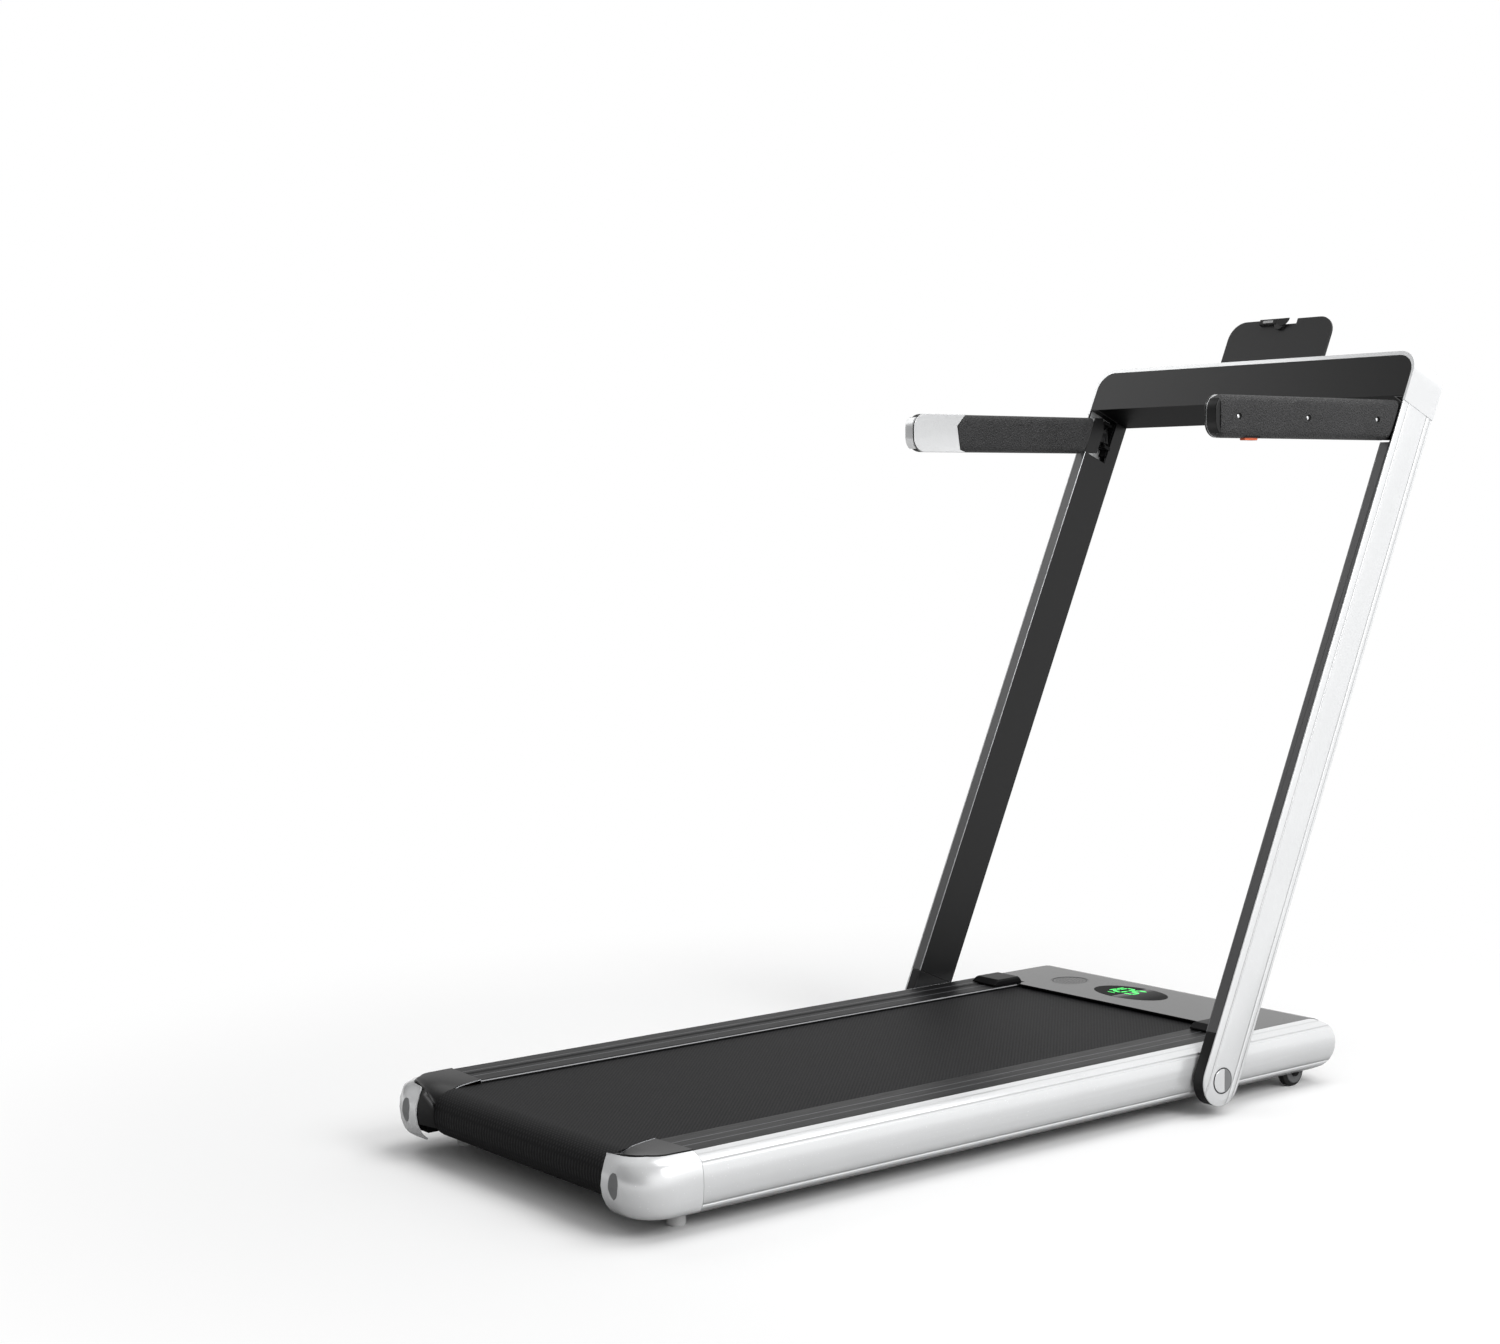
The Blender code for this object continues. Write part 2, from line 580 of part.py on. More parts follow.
def build_structure(b, deck):
    """Steel side beams with wheel axles, rear cross member, deck board and its cushion strips."""
    for word, side in SIDES.items():
        inner, outer = side * BEAM_INNER, side * (BEAM_INNER + BEAM_WIDTH)
        beam = b.box(f"side_beam_{word}", (inner, outer), (BEAM_REAR, BEAM_FRONT), (BEAM_BOTTOM, BEAM_TOP),
                     "frame", deck)
        bore = b.box(f"beam_bore_{word}", (inner + side * BEAM_WALL, outer - side * BEAM_WALL),
                     (BEAM_REAR + 0.003, BEAM_FRONT + 0.01),
                     (BEAM_BOTTOM + BEAM_WALL, BEAM_TOP - BEAM_WALL),
                     None, deck)
        tools = [bore]
        for y in (REAR_ROLLER_Y, FRONT_ROLLER_Y):
            tools.append(b.rod(f"axle_hole_{word}_{y:.2f}", AXLE_RADIUS + GAP,
                               (inner - side * 0.01, y, ROLLER_Z),
                               (outer + side * 0.01, y, ROLLER_Z), None, deck))
        tools.append(b.rod(f"adjuster_hole_{word}", 0.0043,
                           (side * BEAM_MIDDLE, BEAM_REAR - 0.01, ROLLER_Z),
                           (side * BEAM_MIDDLE, BEAM_REAR + 0.01, ROLLER_Z), None, deck))
        b.cut(beam, *tools)
        build_wheel_axle(b, deck, beam, word, side)
        board_bottom = BOARD_TOP - BOARD_THICK
        b.box(f"deck_cushion_{word}", (side * (BEAM_INNER + 0.002), side * (BOARD_HALF - 0.001)),
              (BOARD_REAR + 0.010, BOARD_FRONT - 0.010), (BEAM_TOP + GAP, board_bottom - GAP), "rubber",
              deck)
    reach = BEAM_INNER - GAP
    low, high = BEAM_BOTTOM + 0.008, BEAM_TOP - 0.004
    half = 0.015
    member = b.box("cross_member", (-reach, reach), (MEMBER_Y - half, MEMBER_Y + half), (low, high),
                   "frame", deck)
    inside = half - BEAM_WALL
    bore = b.box("member_bore", (-reach - 0.01, reach + 0.01), (MEMBER_Y - inside, MEMBER_Y + inside),
                 (low + BEAM_WALL, high - BEAM_WALL), None, deck)
    b.cut(member, bore)
    b.box("deck_board", (-BOARD_HALF, BOARD_HALF), (BOARD_REAR, BOARD_FRONT),
          (BOARD_TOP - BOARD_THICK, BOARD_TOP),
          "board", deck)


def build_wheel_axle(b, deck, beam, word, side):
    """Stud welded to the beam, with a collar and a head that keep the transport wheel on it."""
    outer = side * (BEAM_INNER + BEAM_WIDTH)
    half = WHEEL_WIDTH / 2
    plate = b.box(f"wheel_plate_{word}", (outer - side * 0.001, outer + side * 0.0012),
                  (WHEEL_Y - 0.010, WHEEL_Y + 0.010), (WHEEL_RADIUS - 0.008, ROLLER_Z), None, deck)
    stud = b.rod(f"wheel_stud_{word}", 0.004, (outer + side * 0.0005, WHEEL_Y, WHEEL_RADIUS),
                 (side * (WHEEL_X + half + 0.0030), WHEEL_Y, WHEEL_RADIUS), None, deck)
    head = b.rod(f"wheel_head_{word}", 0.007, (side * (WHEEL_X + half + 0.0008), WHEEL_Y, WHEEL_RADIUS),
                 (side * (WHEEL_X + half + 0.0030), WHEEL_Y, WHEEL_RADIUS), None, deck)
    b.join(beam, plate, stud, head)


def loop_outline(centre_a, radius_a, centre_b, radius_b, z, steps=12):
    """Closed line round two wheels of unlike radius, a at the rear and b at the front."""
    slope = math.degrees(math.asin((radius_a - radius_b) / (centre_b - centre_a)))
    rear = arc((centre_a, z), radius_a, 90 - slope, 270 + slope, steps)
    front = arc((centre_b, z), radius_b, -90 + slope, 90 - slope, steps)
    return rear + front


def build_belt(b, deck):
    """Running belt, its two rollers and their axles."""
    outer = loop_outline(REAR_ROLLER_Y, BELT_TOP - ROLLER_Z, FRONT_ROLLER_Y, BELT_TOP - ROLLER_Z, ROLLER_Z)
    inner_radius = BELT_TOP - ROLLER_Z - BELT_THICK
    inner = loop_outline(REAR_ROLLER_Y, inner_radius, FRONT_ROLLER_Y, inner_radius, ROLLER_Z)
    belt = b.plate("running_belt", outer, (-BELT_HALF, BELT_HALF), "X", "belt", deck)
    core = b.plate("belt_inside", inner, (-BELT_HALF - 0.01, BELT_HALF + 0.01), "X", None, deck)
    b.cut(belt, core)
    half = BELT_HALF + 0.0005
    bore, wall, width = AXLE_RADIUS + GAP, 0.0025, 0.010
    for name, y in (("rear", REAR_ROLLER_Y), ("front", FRONT_ROLLER_Y)):
        if name == "rear":
            profile = [(bore, -half), (ROLLER_RADIUS, -half)]
        else:
            groove = -half - 0.003
            profile = [(bore, groove - PULLEY_WIDTH), (PULLEY_RADIUS, groove - PULLEY_WIDTH),
                       (PULLEY_RADIUS, groove),
                       (0.020, groove), (0.020, -half), (ROLLER_RADIUS, -half)]
        profile += [(ROLLER_RADIUS, half), (bore, half), (bore, half - width),
                    (ROLLER_RADIUS - wall, half - width),
                    (ROLLER_RADIUS - wall, width - half), (bore, width - half)]
        b.turned(f"{name}_roller", profile, "steel", deck, (0, y, ROLLER_Z), segments=32)
        reach = BEAM_INNER + BEAM_WIDTH - 0.0007
        axle = b.rod(f"{name}_axle", AXLE_RADIUS, (-reach, y, ROLLER_Z), (reach, y, ROLLER_Z), "steel",
                     deck)
        if name == "rear":
            build_adjusters(b, deck, axle)


def build_adjusters(b, deck, axle):
    """Two belt adjuster bolts, screwed into the rear axle through the beams' end plates."""
    for side in SIDES.values():
        x = side * BEAM_MIDDLE
        bolt = b.rod(f"adjuster_bolt_{side}", 0.004, (x, BEAM_REAR - 0.006, ROLLER_Z),
                     (x, REAR_ROLLER_Y, ROLLER_Z),
                     None, deck, 12)
        head = b.rod(f"adjuster_head_{side}", 0.0065, (x, BEAM_REAR - 0.0065, ROLLER_Z),
                     (x, BEAM_REAR - GAP, ROLLER_Z), None, deck, 6)
        b.join(axle, bolt, head)


def build_drive(b, deck):
    """Motor on its bracket, drive belt, controller and bottom pan."""
    floor = BEAM_BOTTOM + GAP
    reach = BEAM_INNER - GAP
    pan_half = BEAM_INNER + BEAM_WIDTH - 0.002
    b.box("bottom_pan", (-pan_half, pan_half), (MOTOR_Y - 0.038, MOTOR_Y + 0.048),
          (BEAM_BOTTOM - GAP - 0.003, BEAM_BOTTOM - GAP), "black", deck)
    plate_top = floor + BRACKET_THICK
    bracket = b.box("motor_bracket", (-reach, reach), (MOTOR_Y - 0.035, MOTOR_Y + 0.040),
                    (floor, plate_top), "frame",
                    deck)
    cradle_half = MOTOR_HALF - 0.004
    cradle = b.box("motor_cradle", (-cradle_half, cradle_half), (MOTOR_Y - 0.020, MOTOR_Y + 0.020),
                   (floor + 0.001, ROLLER_Z - 0.012), None, deck)
    seat = b.rod("motor_seat", MOTOR_RADIUS + GAP, (-0.12, MOTOR_Y, ROLLER_Z), (0.12, MOTOR_Y, ROLLER_Z),
                 None, deck,
                 32)
    b.join(bracket, cradle)
    b.cut(bracket, seat)
    bore = MOTOR_SHAFT + GAP * 2
    nose, end = 0.012, MOTOR_HALF + 0.006
    profile = [(bore, -end), (nose, -end), (nose, -MOTOR_HALF), (MOTOR_RADIUS, -MOTOR_HALF),
               (MOTOR_RADIUS, MOTOR_HALF), (nose, MOTOR_HALF), (nose, end), (bore, end)]
    b.turned("motor_casing", profile, "casing", deck, (0, MOTOR_Y, ROLLER_Z), segments=32)
    pulley_end = -BELT_HALF - PULLEY_SPACE - PULLEY_WIDTH
    fan, fan_radius = end + 0.006, 0.024
    profile = [(0.0, pulley_end), (MOTOR_PULLEY_RADIUS, pulley_end),
               (MOTOR_PULLEY_RADIUS, pulley_end + PULLEY_WIDTH),
               (MOTOR_SHAFT, pulley_end + PULLEY_WIDTH), (MOTOR_SHAFT, fan), (fan_radius, fan),
               (fan_radius, fan + 0.016), (0.0, fan + 0.016)]
    b.turned("motor_rotor", profile, "steel", deck, (0, MOTOR_Y, ROLLER_Z))
    thick = 0.0018
    slack = GAP * 3
    outer = loop_outline(FRONT_ROLLER_Y, PULLEY_RADIUS + slack + thick, MOTOR_Y,
                         MOTOR_PULLEY_RADIUS + slack + thick, ROLLER_Z)
    inner = loop_outline(FRONT_ROLLER_Y, PULLEY_RADIUS + slack, MOTOR_Y, MOTOR_PULLEY_RADIUS + slack,
                         ROLLER_Z)
    drive = b.plate("drive_belt", outer, (pulley_end + 0.001, pulley_end + PULLEY_WIDTH - 0.001), "X",
                    "rubber",
                    deck)
    through = (pulley_end - 0.01, pulley_end + PULLEY_WIDTH + 0.01)
    b.cut(drive, b.plate("drive_inside", inner, through, "X", None,
                         deck))
    board_low = plate_top + GAP
    left = fan + 0.029
    controller = b.box("controller_board", (left, left + 0.080), (MOTOR_Y - 0.030, MOTOR_Y + 0.036),
                       (board_low, board_low + 0.004), "circuit", deck)
    sink = b.box("heat_sink", (left + 0.005, left + 0.075), (MOTOR_Y, MOTOR_Y + 0.006),
                 (board_low + 0.002, ROLLER_Z + 0.015), None, deck)
    choke = b.box("choke", (left + 0.015, left + 0.045), (MOTOR_Y + 0.012, MOTOR_Y + 0.032),
                  (board_low + 0.002, ROLLER_Z - 0.005), None, deck)
    b.join(controller, sink, choke)


def build_hood(b, deck):
    """Motor hood with half-round nose, display lens and board, and the speaker with its grille."""
    half = RAIL_OUTER - GAP
    hood = b.plate("motor_hood", nose_outline(DECK_FRONT, 0.0, HOOD_REAR), (-half, half), "X", "black",
                   deck)
    room = b.plate("hood_room", nose_outline(DECK_FRONT - HOOD_WALL, HOOD_WALL, HOOD_REAR - 0.02),
                   (-half, half), "X",
                   None, deck)
    under = b.box("hood_under", (-half - 0.01, half + 0.01), (HOOD_REAR - 0.01, DECK_FRONT - 0.022),
                  (PANEL_BOTTOM - 0.014, ROLLER_Z), None, deck)
    step = [b.box(f"hood_corner_{word}", (side * RAIL_INNER, side * (half + 0.01)),
                  (HOOD_REAR - 0.01, HOOD_SEAM),
                  (RAIL_TOP - 0.048, RAIL_TOP + 0.012), None, deck) for word, side in SIDES.items()]
    ellipse = [(DISPLAY_X + x * (DISPLAY_LONG / 2 + GAP), DISPLAY_Y + y * (DISPLAY_SHORT / 2 + GAP))
               for x, y in arc((0, 0), 1.0, 0, 352.5, 47)]
    below, above = RAIL_TOP - 0.018, RAIL_TOP + 0.012
    window = b.plate("display_window", ellipse, (below, above), "Z", None, deck)
    grille_hole = b.rod("grille_hole", SPEAKER_RADIUS + GAP, (SPEAKER_X, DISPLAY_Y, below),
                        (SPEAKER_X, DISPLAY_Y, above), None, deck, 32)
    through = (DECK_FRONT - 0.042, DECK_FRONT + 0.018)
    tall = (SOCKET_Z - SOCKET_HALF - GAP, SOCKET_Z + SOCKET_HALF + GAP)
    wide = INLET_HALF + GAP
    narrow = SWITCH_HALF + GAP
    socket = b.box("inlet_hole", (INLET_X - wide, INLET_X + wide), through, tall, None, deck)
    switch = b.box("switch_hole", (SWITCH_X - narrow, SWITCH_X + narrow), through, tall, None, deck)
    b.cut(hood, room, under, *step, window, grille_hole, socket, switch)
    lens_points = [(DISPLAY_X + x * DISPLAY_LONG / 2, DISPLAY_Y + y * DISPLAY_SHORT / 2)
                   for x, y in arc((0, 0), 1.0, 0, 352.5, 47)]
    b.plate("display_lens", lens_points, (RAIL_TOP - HOOD_WALL, RAIL_TOP + 0.0002), "Z", "gloss", deck)
    room_top = RAIL_TOP - HOOD_WALL - GAP
    b.box("display_board", (DISPLAY_X - 0.075, DISPLAY_X + 0.075), (DISPLAY_Y - 0.044, DISPLAY_Y + 0.044),
          (room_top - 0.0016, room_top), "circuit", deck)
    face = RAIL_TOP - 0.0004 - room_top
    profile = [(0.0, -0.020), (0.012, -0.020), (0.012, -0.012), (0.026, -0.003), (0.026, 0.0),
               (SPEAKER_RADIUS, 0.001),
               (SPEAKER_RADIUS, face), (0.0, face)]
    b.turned("speaker", profile, "grille", deck, (SPEAKER_X, DISPLAY_Y, room_top), axis="Z", segments=32)


def build_inlet(b, deck):
    """Power inlet and rocker switch in one moulding, low on the nose."""
    back = SOCKET_FACE - 0.0205
    tall = (SOCKET_Z - SOCKET_HALF, SOCKET_Z + SOCKET_HALF)
    rim = 0.0027
    inlet = b.box("power_inlet", (INLET_X - INLET_HALF, INLET_X + INLET_HALF), (back, SOCKET_FACE), tall,
                  "black",
                  deck)
    well = b.box("inlet_well", (INLET_X - INLET_HALF + rim, INLET_X + INLET_HALF - rim),
                 (back + 0.004, DECK_FRONT),
                 (tall[0] + rim, tall[1] - rim), None, deck)
    pins = []
    for i, (x, z) in enumerate(((-0.007, -0.001), (0.0, 0.002), (0.007, -0.001))):
        pins.append(b.box(f"inlet_pin_{i}", (INLET_X + x - 0.0010, INLET_X + x + 0.0010),
                          (back + 0.003, SOCKET_FACE - 0.0045),
                          (SOCKET_Z + z - 0.002, SOCKET_Z + z + 0.002), None,
                          deck))
    body = b.box("switch_frame", (SWITCH_X - SWITCH_HALF, SWITCH_X + SWITCH_HALF), (back, SOCKET_FACE),
                 tall, None,
                 deck)
    bridge = b.box("inlet_bridge", (SWITCH_X, INLET_X), (back + 0.0005, back + 0.0035),
                   (tall[0] + 0.0007, tall[1] - 0.0007),
                   None, deck)
    hole = SWITCH_HALF - 0.0017
    switch_well = b.box("switch_well", (SWITCH_X - hole, SWITCH_X + hole), (back + 0.008, DECK_FRONT),
                        (tall[0] + 0.0015, tall[1] - 0.0015), None, deck)
    b.join(inlet, body, bridge)
    b.cut(inlet, well, switch_well)
    b.join(inlet, *pins)
    rocker_outline = [(0.0, -0.0075), (0.0035, -0.0075), (0.0015, 0.0), (0.0035, 0.0075), (0.0, 0.0075),
                      (-0.0045, 0.0)]
    rocker_half = hole - 0.0003
    rocker = b.plate("power_rocker", rocker_outline, (-rocker_half, rocker_half), "X", "black", deck)
    rocker.location = (SWITCH_X, SOCKET_FACE - 0.003, SOCKET_Z)


def build_wheels_and_feet(b, deck):
    half = WHEEL_WIDTH / 2
    for word, side in SIDES.items():
        profile = [(0.0045, -half), (0.0180, -half), (WHEEL_RADIUS, -half + 0.003),
                   (WHEEL_RADIUS, half - 0.003),
                   (0.0180, half), (0.0045, half)]
        b.turned(f"wheel_{word}", profile, "rubber", deck, (side * WHEEL_X, WHEEL_Y, WHEEL_RADIUS),
                 segments=32)
        top = BEAM_BOTTOM - GAP
        profile = [(0.0, 0.0), (FOOT_RADIUS - 0.001, 0.0), (FOOT_RADIUS, 0.002),
                   (FOOT_RADIUS - 0.0015, top),
                   (0.0, top)]
        b.turned(f"rear_foot_{word}", profile, "pale_rubber", deck, (side * BEAM_MIDDLE, FOOT_Y, 0.0),
                 axis="Z")


def build_pivot(b, deck, word, side):
    """Bracket on the beam with a boss through the side panel and the stud that the upright turns on."""
    start = FLANGE_X + GAP
    end = PANEL_HALF - 0.007
    bracket = b.box(f"pivot_bracket_{word}", (side * start, side * end), (PIVOT_Y - 0.030, PIVOT_Y + 0.030),
                    (PIVOT_Z - 0.018, PIVOT_Z + 0.018), "frame", deck)
    boss = b.rod(f"pivot_boss_{word}", BOSS_RADIUS, (side * (end - 0.0065), PIVOT_Y, PIVOT_Z),
                 (side * (BAR_INNER - GAP), PIVOT_Y, PIVOT_Z), None, deck)
    stud = b.rod(f"pivot_stud_{word}", PIVOT_BOLT, (side * (end - 0.0165), PIVOT_Y, PIVOT_Z),
                 (side * (TUBE_OUTER + 0.0017), PIVOT_Y, PIVOT_Z), None, deck)
    head = b.rod(f"stud_head_{word}", PIVOT_BOLT + 0.0045, (side * (TUBE_OUTER + GAP), PIVOT_Y, PIVOT_Z),
                 (side * (TUBE_OUTER + 0.0027), PIVOT_Y, PIVOT_Z), None, deck)
    return b.join(bracket, boss, stud, head)


def round_end(radius, top, steps=16):
    """Upright's side view: half-round lower end about the pivot, up to a straight top."""
    return arc((0, 0), radius, 180, 360, steps) + [(radius, top), (-radius, top)]


def hinge_place(word):
    """Centre of a handle's hinge in the bar frame: (x, w, u)."""
    height = HANDLE_Z[word]
    w = HANDLE_LAYER[word] + HANDLE_X - HINGE_X[word]
    y = (w + SIN * height) / COS
    return HINGE_X[word], w, SIN * y + COS * height


def hinge_axis(side):
    """Handle hinge's axis in the bar frame, pointing up for either side."""
    world = Vector((side * SIN, SIN, 1 + COS)).normalized()
    return Matrix.Rotation(LEAN, 3, "X") @ world


def build_upright(b, bar, word, side):
    inner, outer = side * BAR_INNER, side * (BAR_OUTER - SKIN - GAP)
    place = Vector(hinge_place(word))
    place.x *= side
    axis = hinge_axis(side)
    notch_front = place.y + 0.0125
    notch = b.box(f"notch_{word}", (side * (BAR_INNER - 0.01), side * (TUBE_OUTER + 0.0026)),
                  (-HALF_DEPTH - 0.01, notch_front), (NOTCH_LOW, CROSS_UNDER - 0.001), None, bar)
    room = b.box(f"housing_room_{word}", (inner + side * HOUSING_WALL, outer + side * 0.01),
                 (-HALF_DEPTH + HOUSING_WALL, HALF_DEPTH - HOUSING_WALL), (-0.1, CROSS_UNDER + 0.1), None,
                 bar)
    housing = b.box(f"upright_housing_{word}", (inner, outer), (-HALF_DEPTH, HALF_DEPTH),
                    (BOOT_TOP + GAP, CROSS_UNDER - GAP), "black", bar)
    b.cut(housing, room, notch)
    boot = b.plate(f"upright_boot_{word}", round_end(HALF_DEPTH, BOOT_TOP), (inner, outer), "X", "black",
                   bar)
    boot_room = b.plate(f"boot_room_{word}", round_end(HALF_DEPTH - HOUSING_WALL, BOOT_TOP + 0.02),
                        (inner + side * HOUSING_WALL, outer + side * 0.01), "X", None, bar)
    from_x, to_x = side * (BAR_INNER - 0.0175), side * (BAR_OUTER + 0.01)
    bore = b.rod(f"boot_bore_{word}", PIVOT_BOLT + GAP * 2, (from_x, 0, 0), (to_x, 0, 0), None, bar)
    b.cut(boot, boot_room, bore)
    shell = b.plate(f"upright_shell_{word}", round_end(HALF_DEPTH, SHELL_SEAM),
                    (side * (BAR_OUTER - SKIN), side * BAR_OUTER), "X", "silver", bar)
    edge = shell.modifiers.new("edge", "BEVEL")
    edge.width = 0.0025
    edge.segments = 1
    edge.limit_method = "ANGLE"
    edge.angle_limit = math.radians(60)
    cap_hole = b.rod(f"cap_hole_{word}", PIVOT_CAP + GAP, (side * (BAR_OUTER - 0.01), 0, 0), (to_x, 0, 0),
                     None, bar,
                     32)
    b.cut(shell, cap_hole)
    profile = [(0.0, 0.0), (PIVOT_CAP, 0.0), (PIVOT_CAP, SKIN - 0.0005),
               (PIVOT_CAP - 0.0015, SKIN + 0.0005),
               (0.0, SKIN + 0.0005)]
    cap = b.turned(f"pivot_cap_{word}", profile, "silver", bar, (side * (BAR_OUTER - SKIN + 0.0001), 0, 0),
                   segments=32)
    cap.rotation_euler = (0, side * math.pi / 2, 0)
    shoulder = BOOT_TOP + 0.0015
    tube_side = arc((0, 0), 0.022, 200, 340, 10) + [(TUBE_FRONT, shoulder), (TUBE_FRONT, TUBE_TOP),
                                                    (TUBE_REAR, TUBE_TOP), (TUBE_REAR, shoulder)]
    tube = b.plate(f"upright_tube_{word}", tube_side, (side * TUBE_INNER, side * TUBE_OUTER), "X", None,
                   bar)
    hollow = b.box(f"tube_hollow_{word}", (side * (TUBE_INNER + TUBE_WALL), side * (TUBE_OUTER - TUBE_WALL)),
                   (TUBE_REAR + TUBE_WALL, TUBE_FRONT - TUBE_WALL), (BOOT_TOP + 0.0415, TUBE_TOP + 0.028),
                   None, bar)
    tube_bore = b.rod(f"tube_bore_{word}", PIVOT_BOLT + GAP, (from_x, 0, 0), (to_x, 0, 0), None, bar)
    b.cut(tube, hollow, tube_bore)
    if notch_front > TUBE_REAR:
        b.cut(tube, b.box(f"tube_notch_{word}", (side * (TUBE_INNER - 0.01), side * (TUBE_OUTER + 0.01)),
                          (TUBE_REAR - 0.01, notch_front + GAP), (NOTCH_LOW, CROSS_UNDER - 0.001), None,
                          bar))
    build_hinge_bracket(b, bar, tube, word, side, place, axis, notch_front)
    return tube


def build_hinge_bracket(b, bar, tube, word, side, place, axis, notch_front):
    """Back plate welded to the upright's tube, with two ears that hold the handle's pin."""
    back = b.box(f"hinge_back_{word}", (side * TUBE_INNER, side * (TUBE_OUTER + 0.0022)),
                 (notch_front - 0.0025, notch_front + 0.0015), (HINGE_BACK_LOW, CROSS_UNDER - 0.0045), None,
                 bar)
    ears = []
    clear = LUG_HALF + 0.0028
    for sign in (-1, 1):
        level = sign * (clear + EAR_THICK / 2)
        centre = place + axis * (level / axis.z)
        reach = (centre.x - side * 0.0075, side * (TUBE_OUTER + 0.0016))
        ears.append(b.box(f"hinge_ear_{word}_{sign}", reach, (centre.y - 0.0065, notch_front - 0.001),
                          (place.z + level - EAR_THICK / 2, place.z + level + EAR_THICK / 2), None, bar))
    b.join(tube, back, *ears)
    reach = axis * 0.035
    b.cut(tube, b.rod(f"ear_hole_{word}", PIN_RADIUS + GAP, place - reach, place + reach, None, bar, 16))


def build_crossbar(b, bar):
    """Crossbar: black channel, and a silver shell over its top and round the corners."""
    half = BAR_OUTER - SKIN
    lip = CROSS_TOP - CROSS_LIP
    corner = CROSS_CORNER - SKIN
    shape = [(half - GAP, CROSS_UNDER)] + arc((half - GAP - corner, lip - GAP - corner), corner, 0, 90, 8)
    shape = shape + [(-x, u) for x, u in reversed(shape)]
    housing = b.plate("crossbar_housing", shape, (-HALF_DEPTH, HALF_DEPTH), "Y", "black", bar)
    room = b.box("crossbar_room", (-half + HOUSING_WALL, half - HOUSING_WALL),
                 (-HALF_DEPTH + HOUSING_WALL, HALF_DEPTH - HOUSING_WALL),
                 (CROSS_UNDER + HOUSING_WALL, CROSS_TOP + 0.1),
                 None, bar)
    passes = [b.box(f"tube_pass_{word}", (side * (TUBE_INNER - GAP), side * (TUBE_OUTER + GAP)),
                    (TUBE_REAR - GAP, TUBE_FRONT + GAP), (CROSS_UNDER - 0.01, CROSS_UNDER + 0.01), None,
                    bar)
              for word, side in SIDES.items()]
    b.cut(housing, room, *passes)
    outer = [(BAR_OUTER, SHELL_SEAM + GAP)] + arc((BAR_OUTER - CROSS_CORNER, CROSS_TOP - CROSS_CORNER),
                                                  CROSS_CORNER,
                                                 0, 90, 10)
    inner = [(half, SHELL_SEAM + GAP)] + arc((half - corner, lip - corner), corner, 0, 90, 8)
    arch = outer + [(-x, u) for x, u in reversed(outer)] + [(-x, u) for x, u in inner] + inner[::-1]
    shell = b.plate("crossbar_shell", arch, (-HALF_DEPTH, HALF_DEPTH), "Y", "silver", bar)
    build_tablet_eyes(b, bar, shell)


def build_tablet_eyes(b, bar, shell):
    """Two blocks on the crossbar's top that carry the tablet plate's hinge."""
    for word, side in SIDES.items():
        low, high = side * TABLET_EYE, side * (TABLET_EYE + TABLET_EYE_LONG)
        block = b.box(f"tablet_block_{word}", (low, high),
                      (TABLET_HINGE_W - TABLET_KNUCKLE, TABLET_HINGE_W + TABLET_KNUCKLE),
                      (CROSS_TOP - 0.002, TABLET_HINGE_U), None, bar)
        eye = b.rod(f"tablet_eye_{word}", TABLET_KNUCKLE, (low, TABLET_HINGE_W, TABLET_HINGE_U),
                    (high, TABLET_HINGE_W, TABLET_HINGE_U), None, bar)
        b.join(shell, block, eye)
        b.cut(shell, b.rod(f"tablet_bore_{word}", TABLET_PIN + GAP,
                           (low - side * 0.007, TABLET_HINGE_W, TABLET_HINGE_U),
                           (high + side * 0.009, TABLET_HINGE_W, TABLET_HINGE_U), None, bar, 16))


def build_frame_tube(b, bar, tubes):
    """Welds the uprights' tubes and the crossbar's tube into one U-shaped frame."""
    level = (CROSS_UNDER + 0.007, TUBE_TOP - 0.002)
    rear, front = TUBE_REAR + 0.0008, TUBE_FRONT - 0.0008
    reach = TUBE_INNER + TUBE_WALL / 2
    tube = b.box("frame_tube", (-reach, reach), (rear, front), level, "frame", bar)
    b.join(tube, *tubes)
    b.cut(tube, b.box("crossbar_bore", (-TUBE_INNER - 0.0075, TUBE_INNER + 0.0075),
                      (rear + TUBE_WALL, front - TUBE_WALL), (level[0] + TUBE_WALL, level[1] - TUBE_WALL),
                      None,
                      bar))


